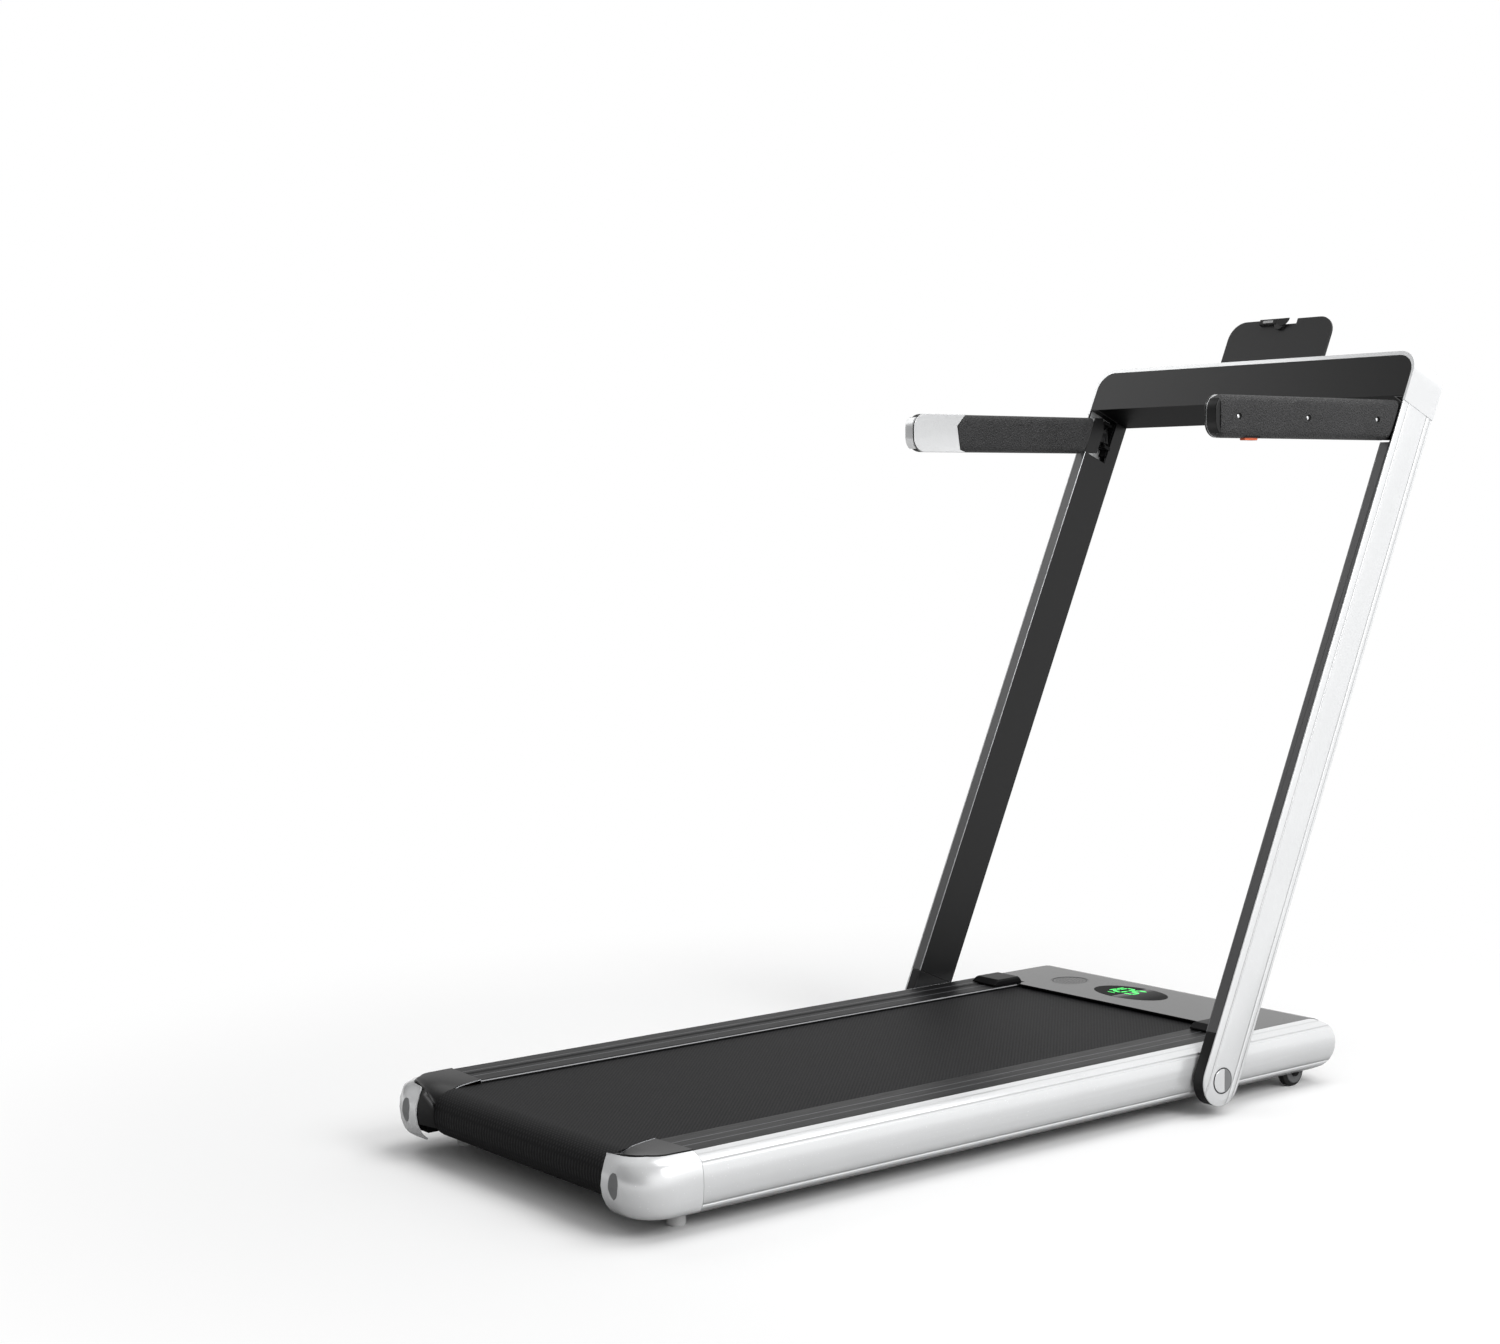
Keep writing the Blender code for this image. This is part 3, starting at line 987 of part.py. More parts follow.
def build_tablet(b, tablet):
    """Tablet plate with a notch and a hook on top; its knuckles stand before it, on the hinge."""
    rear = TABLET_W - TABLET_HINGE_W
    low = -0.003
    high = TABLET_TOP - TABLET_HINGE_U
    corner = 0.030
    right = [(TABLET_HALF, low)] + arc((TABLET_HALF - corner, high - corner), corner, 0, 90, 8)
    notch = [(0.030, high), (0.030, high - 0.009), (-0.016, high - 0.009), (-0.016, high)]
    outline = right + notch + [(-x, z) for x, z in reversed(right)]
    plate = b.plate("tablet_plate", outline, (rear - TABLET_THICK / 2, rear + TABLET_THICK / 2), "Y",
                    "black", tablet)
    tools = [b.plate("tablet_hook", arc((-0.002, high - 0.0087), 0.0105, 180, 360, 10),
                     (rear - 0.006, rear), "Y",
                     None, tablet)]
    for word, side in SIDES.items():
        inner_x = TABLET_EYE - 0.0005
        outer_x = TABLET_EYE + TABLET_EYE_LONG + 0.0005
        for low_x, high_x in ((inner_x - TABLET_KNUCKLE_LONG, inner_x),
                              (outer_x, outer_x + TABLET_KNUCKLE_LONG)):
            span = (side * low_x, side * high_x)
            tools.append(b.box(f"tablet_arm_{word}_{low_x:.3f}", span, (rear, 0.0), (-0.003, 0.003), None,
                               tablet))
            tools.append(b.rod(f"tablet_knuckle_{word}_{low_x:.3f}", TABLET_KNUCKLE, (span[0], 0, 0),
                               (span[1], 0, 0),
                               None, tablet))
        tools.append(b.rod(f"tablet_pin_{word}", TABLET_PIN, (side * (inner_x - 0.0065), 0, 0),
                           (side * (outer_x + 0.0085), 0, 0), None, tablet, 12))
    b.join(plate, *tools)


def handle_outline(root, tip, half, corner, z_mid, slope):
    """Handle's side view: root cut parallel to the upright, tip with rounded corners."""
    return ([(root + half * slope, z_mid + half)] + arc((tip + corner, z_mid + half - corner), corner, 90,
                                                        180, 6)
            + arc((tip + corner, z_mid - half + corner), corner, 180, 270,
                  6) + [(root - half * slope, z_mid - half)])


def plate_outline(tip, end, half):
    """Side view of the silver tip plate: its end leans, and runs on along the foam's cut corners."""
    far = end + PLATE_CHAMFER
    return [(tip - 0.01, -half - 0.01), (far, -half - 0.01), (far, -half), (end + 0.006, 0.004 - half),
            (end, half - PLATE_CHAMFER), (far, half), (far, half + 0.01), (tip - 0.01, half + 0.01)]


def build_handle(b, joint, word, side):
    """Handle in its hinge's level frame: y and z from the hinge, x from the hinge outwards."""
    hinge_x, hinge_w, hinge_u = hinge_place(word)
    slope = SIN / COS
    root = (HANDLE_ROOT_W - hinge_w) / COS
    tip = root - HANDLE_LENGTH
    half = HANDLE_HEIGHT / 2
    thick = HANDLE_THICK / 2
    middle = HANDLE_X - hinge_x

    def span(low, high):
        return side * (middle + low), side * (middle + high)

    tip_line = tip + CAP_LENGTH
    outline = handle_outline(root, tip, half, HANDLE_TIP_RADIUS, 0.0, slope)
    grip = b.plate(f"handle_grip_{word}", outline, span(-thick, thick), "X", "foam", joint)
    soft = grip.modifiers.new("round", "BEVEL")
    soft.width = GRIP_ROUND
    soft.segments = 2
    soft.limit_method = "ANGLE"
    soft.angle_limit = math.radians(60)
    cap_slice = b.box(f"cap_slice_{word}", span(-0.02, 0.02), (tip - 0.01, tip_line + GAP), (-0.05, 0.05),
                      None, joint)
    plate_end = tip + PLATE_LENGTH
    plate_slice = b.plate(f"plate_slice_{word}", plate_outline(tip, plate_end + 0.0005, half),
                          span(-0.02, -thick + PLATE_THICK + GAP), "X", None, joint)
    core_room = b.box(f"core_room_{word}", span(-0.0053, 0.0053), (tip + 0.015, root + 0.02),
                      (-0.0153, 0.0153), None,
                      joint)
    screws = []
    holes = []
    for i, share in enumerate((0.18, 0.50, 0.86)):
        y = tip + HANDLE_LENGTH * share
        holes.append(b.rod(f"screw_hole_{word}_{i}", 0.0032, (side * (middle + 0.003), y, 0),
                           (side * (middle + 0.02), y, 0), None, joint, 12))
        screws.append(b.rod(f"screw_{word}_{i}", 0.0028, (side * (middle + 0.004), y, 0),
                            (side * (middle + thick - 0.0012), y, 0), None, joint, 12))
    tools = [cap_slice, plate_slice, core_room] + holes
    if word == "right":
        tools.append(b.box("key_pocket", span(-0.0073, 0.0073),
                           (tip + KEY_FROM_TIP - 0.0163, tip + KEY_FROM_TIP + 0.0163), (-0.04, -0.0140),
                           None,
                           joint))
    b.cut(grip, *tools)
    cap = b.plate(f"handle_cap_{word}", outline, span(-thick + PLATE_THICK + GAP, thick), "X", "gloss",
                  joint)
    keep = b.box(f"cap_keep_{word}", span(-0.02, 0.02), (tip - 0.02, tip_line), (-0.05, 0.05), None, joint)
    b.cut(cap, keep, operation="INTERSECT")
    plate = b.plate(f"handle_plate_{word}", outline, span(-thick, -thick + PLATE_THICK), "X", "silver",
                    joint)
    keep_plate = b.plate(f"plate_keep_{word}", plate_outline(tip, plate_end, half), span(-0.02, 0.0), "X",
                         None, joint)
    b.cut(plate, keep_plate, operation="INTERSECT")
    core = b.box(f"handle_core_{word}", span(-0.005, 0.005), (tip + 0.0155, root - 0.001), (-0.015, 0.015),
                 "steel",
                 joint)
    arm = b.box(f"handle_arm_{word}", span(-0.005, 0.005), (root - 0.03, 0.0), (-0.0105, 0.0105), None,
                joint)
    axis = Vector((side * SIN, SIN, 1 + COS)).normalized()
    lug = b.rod(f"handle_lug_{word}", LUG_RADIUS, -axis * LUG_HALF, axis * LUG_HALF, None, joint)
    pin = b.rod(f"handle_pin_{word}", PIN_RADIUS, -axis * 0.0235, axis * 0.0235, None, joint, 16)
    b.join(core, arm, lug, pin, *screws)
    if word == "right":
        build_key_socket(b, joint, core, middle, tip + KEY_FROM_TIP)


def build_key_socket(b, joint, core, x, y):
    """Socket for the safety key, moulded on the core's lower side."""
    socket = b.box("key_socket", (x - 0.007, x + 0.007), (y - 0.016, y + 0.016),
                   (-HANDLE_HEIGHT / 2 + 0.0005, -0.0145), None, joint)
    b.join(core, socket)
    b.cut(core, b.box("key_well", (x - 0.0053, x + 0.0053), (y - 0.0138, y + 0.0138), (-0.05, -0.0180), None,
                      joint))


def build_key(b, key):
    b.box("safety_key", (-0.005, 0.005), (-0.0135, 0.0135), (-HANDLE_HEIGHT / 2 - 0.003, -0.0183), "orange",
          key,
          bevel=0.0008)


def main():
    clear_scene()
    parts, cutters = make_collections()
    b = Builder(parts, cutters, make_paints())
    deck = empty("deck_frame", parts, None, (0, -DECK_SHIFT, 0))
    build_structure(b, deck)
    build_belt(b, deck)
    build_drive(b, deck)
    build_hood(b, deck)
    build_inlet(b, deck)
    build_wheels_and_feet(b, deck)
    bar = empty("frame_pivot", parts, deck, (0, PIVOT_Y, PIVOT_Z), -LEAN)
    tubes = []
    for word, side in SIDES.items():
        build_side_panel(b, deck, word, side)
        build_foot_rail(b, deck, word, side)
        build_hinge_cover(b, deck, word, side)
        build_rear_cap(b, deck, word, side)
        build_guard(b, deck, word, side)
        build_pivot(b, deck, word, side)
        tubes.append(build_upright(b, bar, word, side))
        x, w, u = hinge_place(word)
        joint = empty(f"handle_joint_{word}", parts, bar, (side * x, w, u), LEAN)
        build_handle(b, joint, word, side)
        if word == "right":
            tip = (HANDLE_ROOT_W - w) / COS - HANDLE_LENGTH
            key = empty("key_joint", parts, joint, (side * (HANDLE_X - x), tip + KEY_FROM_TIP, 0))
            build_key(b, key)
    build_frame_tube(b, bar, tubes)
    build_crossbar(b, bar)
    tablet = empty("tablet_joint", parts, bar, (0, TABLET_HINGE_W, TABLET_HINGE_U))
    build_tablet(b, tablet)


main()
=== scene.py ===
"""Folding treadmill: finishes, small fittings and a plain studio round the fixed frame.

Metres, +Z up, +X to the walker's right, +Y towards the motor. BAR is the frame of the leaning uprights, from
the pivot they fold on: x across the deck, y from rear to front and z along the upright.
"""
import json
import math

import bmesh
import bpy
from bpy.props import FloatProperty, FloatVectorProperty, IntProperty, PointerProperty, StringProperty
from mathutils import Matrix, Vector
from mathutils.bvhtree import BVHTree


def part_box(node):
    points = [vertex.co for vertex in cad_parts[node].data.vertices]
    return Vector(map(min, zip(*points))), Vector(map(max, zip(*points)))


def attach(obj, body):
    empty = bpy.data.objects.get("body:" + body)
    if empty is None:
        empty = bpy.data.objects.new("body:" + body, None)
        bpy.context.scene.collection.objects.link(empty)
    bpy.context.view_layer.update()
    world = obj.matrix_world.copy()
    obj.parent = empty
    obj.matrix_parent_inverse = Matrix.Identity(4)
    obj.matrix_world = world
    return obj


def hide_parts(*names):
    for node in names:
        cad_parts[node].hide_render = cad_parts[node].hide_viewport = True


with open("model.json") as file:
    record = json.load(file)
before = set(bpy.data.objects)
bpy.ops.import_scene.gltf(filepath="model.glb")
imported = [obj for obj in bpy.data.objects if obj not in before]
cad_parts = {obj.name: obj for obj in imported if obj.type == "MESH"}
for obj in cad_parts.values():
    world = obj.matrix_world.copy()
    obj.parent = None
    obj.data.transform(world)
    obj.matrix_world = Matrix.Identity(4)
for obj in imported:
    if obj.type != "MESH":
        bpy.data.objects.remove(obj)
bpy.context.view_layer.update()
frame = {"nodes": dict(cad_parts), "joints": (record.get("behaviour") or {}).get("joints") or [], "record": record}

bl_info = {
    "name": "Folding Treadmill",
    "version": (1, 0, 0),
    "blender": (4, 5, 0),
    "location": "View3D > Sidebar > Treadmill",
    "description": "Finishes and small fittings of a folding treadmill",
    "category": "Object",
}

JOINTS = {joint["name"]: joint for joint in frame["joints"]}
SIDES = {"right": 1, "left": -1}
PIVOT = Vector(JOINTS["frame_fold"]["pos_m"])
LEAN = math.radians(24.2)
BAR = Matrix.Translation(PIVOT) @ Matrix.Rotation(-LEAN, 4, "X")
# Thickness of an upright's outer skin, and the upright's depth from rear to front
SKIN = 0.004
BAR_DEPTH = 0.074
# Edges sharper than this, in degrees, are rounded or stay sharp
EDGE_ANGLE = 32.0
# How far the handle's cap reaches past the pad's solid, and the radius of the pad's end in side view
CAP_LENGTH = 0.0093
TIP_ROUND = 0.022
# Lit segments of each digit, from the top round to the left, with g across the middle
SEGMENTS = {
    "0": "abcdef", "1": "bc", "2": "abged", "3": "abgcd", "4": "fgbc",
    "5": "afgcd", "6": "afgedc", "7": "abc", "8": "abcdefg", "9": "abfgcd",
}
# Pressed relief of the silver parts: places across the part, and heights
PANEL_PROFILE = (
    (0.0200, 0.0000), (0.0270, 0.0026), (0.0330, 0.0046), (0.0350, 0.0034), (0.0370, 0.0050),
    (0.0480, 0.0080), (0.0620, 0.0096), (0.0780, 0.0098), (0.0830, 0.0096), (0.0860, 0.0084),
    (0.0890, 0.0091), (0.0930, 0.0088), (0.0950, 0.0074), (0.1000, 0.0060),
)
SKIN_PROFILE = (
    (-0.0400, 0.0010), (-0.0270, 0.0040), (-0.0250, 0.0026), (-0.0230, 0.0042), (-0.0100, 0.0056),
    (0.0060, 0.0060), (0.0200, 0.0048), (0.0225, 0.0028), (0.0250, 0.0036), (0.0300, 0.0030),
    (0.0320, 0.0014), (0.0340, 0.0020), (0.0400, 0.0004),
)


def linear(code):
    """Linear colour, with alpha 1, of an sRGB hex value."""
    channels = [int(code[i:i + 2], 16) / 255 for i in (1, 3, 5)]
    return tuple(c / 12.92 if c <= 0.04045 else ((c + 0.055) / 1.055) ** 2.4 for c in channels) + (1.0,)


def swatch(name, code, description):
    """Colour property whose default is an sRGB hex value."""
    return FloatVectorProperty(name=name, description=description, subtype="COLOR", size=4, min=0.0, max=1.0,
                               default=linear(code))


def length(name, default, low, high, description):
    """Length property, in metres."""
    return FloatProperty(name=name, description=description, default=default, min=low, max=high, unit="LENGTH")


class TreadmillColours(bpy.types.PropertyGroup):
    """Colours of the finishes."""
    lacquer: swatch("Silver lacquer", "#e9eaeb", "Side panels, rear caps and the outer skins of the frame")
    black: swatch("Black plastic", "#0d0d0e", "Housings, boots, hood and guards")
    rail: swatch("Foot rail", "#101011", "Foot rails and hinge covers")
    belt: swatch("Running belt", "#131314", "Top layer of the running belt")
    foam: swatch("Grip foam", "#1e1e1f", "Foam pads of the handles")
    digits: swatch("Digits", "#2fe25c", "Lit segments of the display")
    key: swatch("Safety key", "#e2693f", "Safety key under the right handle")
    plug: swatch("Adjuster plug", "#7c7d7e", "Plugs over the belt adjusters")
    floor: swatch("Floor", "#f4f4f4", "Studio floor and backdrop")


class TreadmillSizes(bpy.types.PropertyGroup):
    """Sizes of the small fittings."""
    edge: length("Edge rounding", 0.0012, 0.0, 0.004, "Radius on the edges of mouldings")
    grip_round: length("Grip rounding", 0.0100, 0.002, 0.0105, "Radius along the edges of the grip pads")
    screw: length("Screw head", 0.0028, 0.001, 0.004, "Radius of the grip screws' heads")
    hole: length("Speaker hole", 0.0014, 0.0003, 0.002, "Radius of one hole in the speaker's grille")
    hole_step: length("Hole spacing", 0.0054, 0.001, 0.006, "Distance between rings of speaker holes")
    digit_height: length("Digit height", 0.030, 0.01, 0.05, "Height of a digit on the display")
    reading: StringProperty(name="Reading", description="Digits on the display", default="105")
    underside_screws: IntProperty(name="Pan screws", description="Screws along each edge of the bottom pan",
                                  default=6, min=2, max=12)


def add(tree, kind, inputs=None, **settings):
    """Add a node. An input is a value, another node's first output, or a (node, output) pair."""
    made = tree.nodes.new(kind)
    for key, value in settings.items():
        setattr(made, key, value)
    for key, value in (inputs or {}).items():
        pair = isinstance(value, tuple) and isinstance(value[0], bpy.types.Node)
        source, output = value if pair else (value, 0)
        if isinstance(source, bpy.types.Node):
            tree.links.new(source.outputs[output], made.inputs[key])
        else:
            made.inputs[key].default_value = value
    return made


def surface(name, colour, grain=0.9, rough=(0.35, 0.45), depth=0.02, vary=0.12, stretch=(1, 1, 1), **fixed):
    """Finish with one fine grain, in millimetres, that moves its colour, roughness and relief together.

    The colour is linear, or an sRGB hex value. What is fixed goes to the shader's own sockets. Gives the
    material and, for finishes that add to it, its tree and the nodes that they join.
    """
    colour = linear(colour) if isinstance(colour, str) else colour
    material = bpy.data.materials.new(name)
    material.use_nodes = True
    tree = material.node_tree
    tree.nodes.clear()
    place = add(tree, "ShaderNodeTexCoord")
    turn = add(tree, "ShaderNodeMapping", {"Scale": stretch, "Vector": (place, "Object")})
    fine = add(tree, "ShaderNodeTexNoise",
               {"Scale": 1000 / grain, "Detail": 3.0, "Roughness": 0.6, "Vector": turn})
    broad = add(tree, "ShaderNodeTexNoise", {"Scale": 9.0, "Detail": 2.0, "Vector": turn})
    both = add(tree, "ShaderNodeMath", {0: fine, 1: 0.6, 2: broad}, operation="MULTIPLY_ADD")
    tint = add(tree, "ShaderNodeValToRGB", {"Fac": both})
    for stop, position, share in zip(tint.color_ramp.elements, (0.45, 1.0), (1 - vary, 1 + vary)):
        stop.position = position
        stop.color = tuple(min(c * share, 1.0) for c in colour[:3]) + (1.0,)
    gloss = add(tree, "ShaderNodeMapRange",
                {"From Min": 0.25, "From Max": 0.75, "To Min": rough[0], "To Max": rough[1], "Value": fine})
    relief = add(tree, "ShaderNodeBump", {"Strength": 0.6, "Distance": depth / 1000, "Height": fine})
    shader = add(tree, "ShaderNodeBsdfPrincipled",
                 {"Base Color": tint, "Roughness": gloss, "Normal": relief, **fixed})
    add(tree, "ShaderNodeOutputMaterial", {"Surface": shader})
    material.diffuse_color = colour
    return material, {"tree": tree, "place": place, "tint": tint, "relief": relief, "shader": shader}


def wire(made, node, *sockets):
    """Lead a node's first output to sockets of a finish's shader."""
    for socket in sockets:
        made["tree"].links.new(node.outputs[0], made["shader"].inputs[socket])


def finish(name, colour, **looks):
    """Material of a finish that needs nothing past its grain."""
    return surface(name, colour, **looks)[0]


def grey_ramp(tree, source, stops):
    """Grey levels along a value from 0 to 1, given as (position, level) with the first at 0."""
    ramp = add(tree, "ShaderNodeValToRGB", {"Fac": source})
    elements = ramp.color_ramp.elements
    for number, (position, level) in enumerate(stops):
        stop = elements.new(position) if number else elements[0]
        stop.color = (level, level, level, 1.0)
    elements.remove(elements[-1])
    return ramp


def silver_lacquer(colour, name="silver_lacquer_sprayed", along=None, profile=()):
    """Silver lacquer under clear coat, sprayed on metal and ABS: bright, with faint orange peel.

    A profile of (place, height) points, both in metres, shades pressed lines and a crown across the direction
    along, which is a vector and the place on it where the profile starts.
    """
    material, made = surface(name, colour, grain=1.8, rough=(0.20, 0.28), depth=0.010, vary=0.02,
                             **{"Metallic": 0.35, "Coat Weight": 0.4, "Coat Roughness": 0.06})
    if profile:
        tree = made["tree"]
        across = add(tree, "ShaderNodeVectorMath", {0: (made["place"], "Object"), 1: along[0]},
                     operation="DOT_PRODUCT")
        reach = profile[-1][0] - profile[0][0]
        start = along[1] + profile[0][0]
        share = add(tree, "ShaderNodeMapRange",
                    {"From Min": start, "From Max": start + reach, "Value": (across, "Value")})
        curve = add(tree, "ShaderNodeFloatCurve", {"Value": share})
        tall = max(height for _, height in profile)
        line = curve.mapping.curves[0]
        for number, (place, height) in enumerate(profile):
            spot = ((place - profile[0][0]) / reach, height / tall)
            if number in (0, len(profile) - 1):
                line.points[-1 if number else 0].location = spot
            else:
                line.points.new(*spot)
        curve.mapping.update()
        pressed = add(tree, "ShaderNodeBump",
                      {"Strength": 1.0, "Distance": tall, "Height": curve, "Normal": made["relief"]})
        wire(made, pressed, "Normal", "Coat Normal")
    return material


def black_abs(colour):
    """Spark-eroded ABS moulding: satin black, with a grain drawn at 0.9 mm so that it shows."""
    return finish("black_abs_moulded", colour, rough=(0.30, 0.42), depth=0.018, vary=0.10,
                  **{"Specular IOR Level": 0.35})


def hood_abs(colour):
    """Piano-black ABS of the motor hood and speaker: at a low angle it mirrors the room as an even grey."""
    return finish("black_abs_hood", colour, grain=2.0, rough=(0.20, 0.26), depth=0.004, vary=0.06,
                  **{"Coat Weight": 0.15, "Coat Roughness": 0.12, "IOR": 1.42})


def gloss_abs(colour):
    """Polished ABS moulding: deep black with clear reflections and a trace of sink marks."""
    return finish("black_abs_polished", colour, grain=6.0, rough=(0.10, 0.16), depth=0.01, vary=0.05,
                  **{"Coat Weight": 0.3})


def foot_rail_finish(colour, highlight_ridges=()):
    """Black anodised extrusion, drawn along the rail, with a painted highlight line 1.8 mm wide on each ridge."""
    material, made = surface("black_anodised_extrusion", colour, grain=0.8, rough=(0.34, 0.50), vary=0.10,
                             stretch=(1, 0.02, 1), **{"Metallic": 0.05, "Specular IOR Level": 0.14})
    tree = made["tree"]
    parts = add(tree, "ShaderNodeSeparateXYZ", {"Vector": (made["place"], "Object")})
    away = add(tree, "ShaderNodeMath", {0: (parts, "X")}, operation="ABSOLUTE")
    paint = made["tint"]
    half_highlight = 0.0009
    # Painted highlights: a bright line at the inner edge, dimmer lines on the other ridges
    for ridge, code in zip(highlight_ridges, ("#9a9b9d", "#66676a", "#66676a")):
        near = add(tree, "ShaderNodeMath", {0: away, 1: ridge, 2: half_highlight}, operation="COMPARE")
        paint = add(tree, "ShaderNodeMixRGB", {"Color2": linear(code), "Fac": near, "Color1": paint})
    wire(made, paint, "Base Color")
    return material


def belt_finish(colour):
    """PVC belt with a lozenge grip texture: the lozenges are drawn 4.5 mm wide, so that they show."""
    material, made = surface("pvc_belt_lozenge", colour, grain=1.1, rough=(0.55, 0.72), depth=0.03, vary=0.16,
                             **{"IOR": 1.22})
    tree = made["tree"]
    turn = add(tree, "ShaderNodeMapping",
               {"Rotation": (0, 0, math.pi / 4), "Vector": (made["place"], "Object")})
    # Bands repeat every pi / 10 / scale, which is 4.5 mm here
    waves = [add(tree, "ShaderNodeTexWave", {"Scale": 70.0, "Vector": turn},
                 bands_direction=direction) for direction in ("X", "Y")]
    grid = add(tree, "ShaderNodeMath", {0: (waves[0], "Fac"), 1: (waves[1], "Fac")}, operation="MULTIPLY")
    raised = add(tree, "ShaderNodeBump",
                 {"Strength": 0.5, "Distance": 0.00025, "Height": grid, "Normal": made["relief"]})
    wire(made, raised, "Normal")
    # The lozenges are coloured a lighter grey than the belt between them
    lozenge_tone = add(tree, "ShaderNodeMixRGB", {"Color2": linear("#2e2e2f"), "Fac": grid, "Color1": made["tint"]})
    wire(made, lozenge_tone, "Base Color")
    return material


def foam_finish(colour):
    """Self-skinned foam with a leather grain: cells drawn 3.6 mm across, so that they show."""
    material, made = surface("self_skinned_foam_leather_grain", colour, grain=0.8, rough=(0.48, 0.62),
                             depth=0.05, vary=0.40)
    tree = made["tree"]
    warp = add(tree, "ShaderNodeTexNoise",
               {"Scale": 220.0, "Detail": 2.0, "Vector": (made["place"], "Object")})
    moved = add(tree, "ShaderNodeMixRGB",
                {"Fac": 0.0022, "Color1": (made["place"], "Object"), "Color2": (warp, "Color")},
                blend_type="ADD")
    cells = add(tree, "ShaderNodeTexVoronoi", {"Scale": 1000 / 3.6, "Vector": moved},
                feature="DISTANCE_TO_EDGE")
    crease = add(tree, "ShaderNodeMapRange", {"From Max": 0.30, "Value": cells})
    grained = add(tree, "ShaderNodeBump",
                  {"Strength": 1.0, "Distance": 0.0011, "Height": crease, "Normal": made["relief"]})
    wire(made, grained, "Normal")
    return material


def brushed_steel():
    """Zinc-plated steel, turned or drawn: fine lines and a soft bright sheen."""
    return finish("zinc_plated_steel_turned", "#b9bbbd", grain=0.7, rough=(0.22, 0.36), depth=0.01, vary=0.08,
                  stretch=(1, 0.05, 0.05), Metallic=1.0)


def chrome():
    """Chrome-plated screw: a small bright mirror."""
    return finish("chrome_plated_steel", "#e8e9ea", grain=1.5, rough=(0.06, 0.12), depth=0.004, vary=0.02,
                  Metallic=1.0)


def powder_coat():
    """Black powder coat on welded tube: a low satin with a pebbled skin."""
    return finish("black_powder_coat", "#161617", grain=1.4, rough=(0.42, 0.56), depth=0.04, IOR=1.2)


def rubber(name, code):
    """Moulded rubber: matt, with a powdery bloom."""
    return finish(name, code, rough=(0.62, 0.80), depth=0.03, vary=0.14)


def board_finish():
    """Film-faced plywood: brown film with the veneer's long grain under it."""
    return finish("film_faced_plywood", "#4a3626", grain=2.5, rough=(0.35, 0.5), depth=0.03, vary=0.25,
                  stretch=(1, 0.04, 1))


def circuit_finish():
    """Glass-fibre circuit board under green solder mask: a dull green shine."""
    return finish("solder_masked_board", "#1c5a34", grain=1.2, rough=(0.25, 0.4), vary=0.2)


def key_finish(colour):
    """Orange polypropylene key: slightly waxy, with a fine moulded grain."""
    return finish("orange_polypropylene", colour, grain=0.8, rough=(0.38, 0.50), vary=0.06)


def digit_finish(colour):
    """Lit display segments: even green light, a little uneven between diodes."""
    material, made = surface("lit_display_segments", colour, grain=4.0, rough=(0.3, 0.4), depth=0.0,
                             vary=0.05)
    made["shader"].inputs["Emission Strength"].default_value = 1.0
    wire(made, made["tint"], "Emission Color")
    return material


def linked(name, data):
    """New object in the scene."""
    obj = bpy.data.objects.new(name, data)
    bpy.context.scene.collection.objects.link(obj)
    return obj


def evaluated(obj):
    """Plain mesh of an object with its modifiers; the object is removed."""
    graph = bpy.context.evaluated_depsgraph_get()
    mesh = bpy.data.meshes.new_from_object(obj.evaluated_get(graph), depsgraph=graph)
    mesh.name = obj.name
    bpy.data.objects.remove(obj, do_unlink=True)
    return mesh


def mesh_of(name, bm):
    """Mesh of a bmesh, which is freed."""
    mesh = bpy.data.meshes.new(name)
    bm.to_mesh(mesh)
    bm.free()
    return mesh


def bar_points(node):
    """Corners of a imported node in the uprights' frame."""
    return [BAR.inverted() @ v.co for v in frame["nodes"][node].data.vertices]


def bevelled(obj, width, angle, segments=2):
    """Round an object's edges that are sharper than angle, in degrees."""
    bevel = obj.modifiers.new("edges", "BEVEL")
    bevel.width = width
    bevel.segments = segments
    bevel.limit_method = "ANGLE"
    bevel.angle_limit = math.radians(angle)
    return bevel


def piece(name, mesh, material, body, stands_for=(), angle=35.0):
    """Finished piece at the origin, shaded smooth between its edges, riding on one body."""
    obj = linked(name, mesh)
    mesh.materials.clear()
    mesh.materials.append(material)
    if angle:
        mesh.shade_smooth()
        mesh.set_sharp_from_angle(angle=math.radians(angle))
    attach(obj, body)
    if stands_for:
        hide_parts(*stands_for)
    return obj


def body_of_node(node):
    """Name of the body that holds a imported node."""
    for body, members in frame["record"]["behaviour"]["bodies"].items():
        if node in members:
            return body
    raise RuntimeError(f"no body holds {node}")


def refine(node, material, edge, segments=2):
    """Stand-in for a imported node: the same shape, with its small edges rounded and its curves smooth."""
    bm = bmesh.new()
    bm.from_mesh(frame["nodes"][node].data)
    bmesh.ops.remove_doubles(bm, verts=bm.verts, dist=0.000002)
    bmesh.ops.dissolve_limit(bm, angle_limit=math.radians(0.4), verts=bm.verts, edges=bm.edges)
    obj = linked(f"{node}_finished", mesh_of(node, bm))
    obj.data.shade_smooth()
    if edge:
        bevelled(obj, edge, EDGE_ANGLE, segments).miter_outer = "MITER_ARC"
        weigh = obj.modifiers.new("normals", "WEIGHTED_NORMAL")
        weigh.mode = "FACE_AREA"
        weigh.keep_sharp = True
    return piece(f"{node}_finished", evaluated(obj), material, body_of_node(node), (node,),
                 angle=0 if edge else EDGE_ANGLE)


def paint_node(node, material):
    """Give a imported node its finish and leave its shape."""
    mesh = frame["nodes"][node].data
    mesh.materials.clear()
    mesh.materials.append(material)


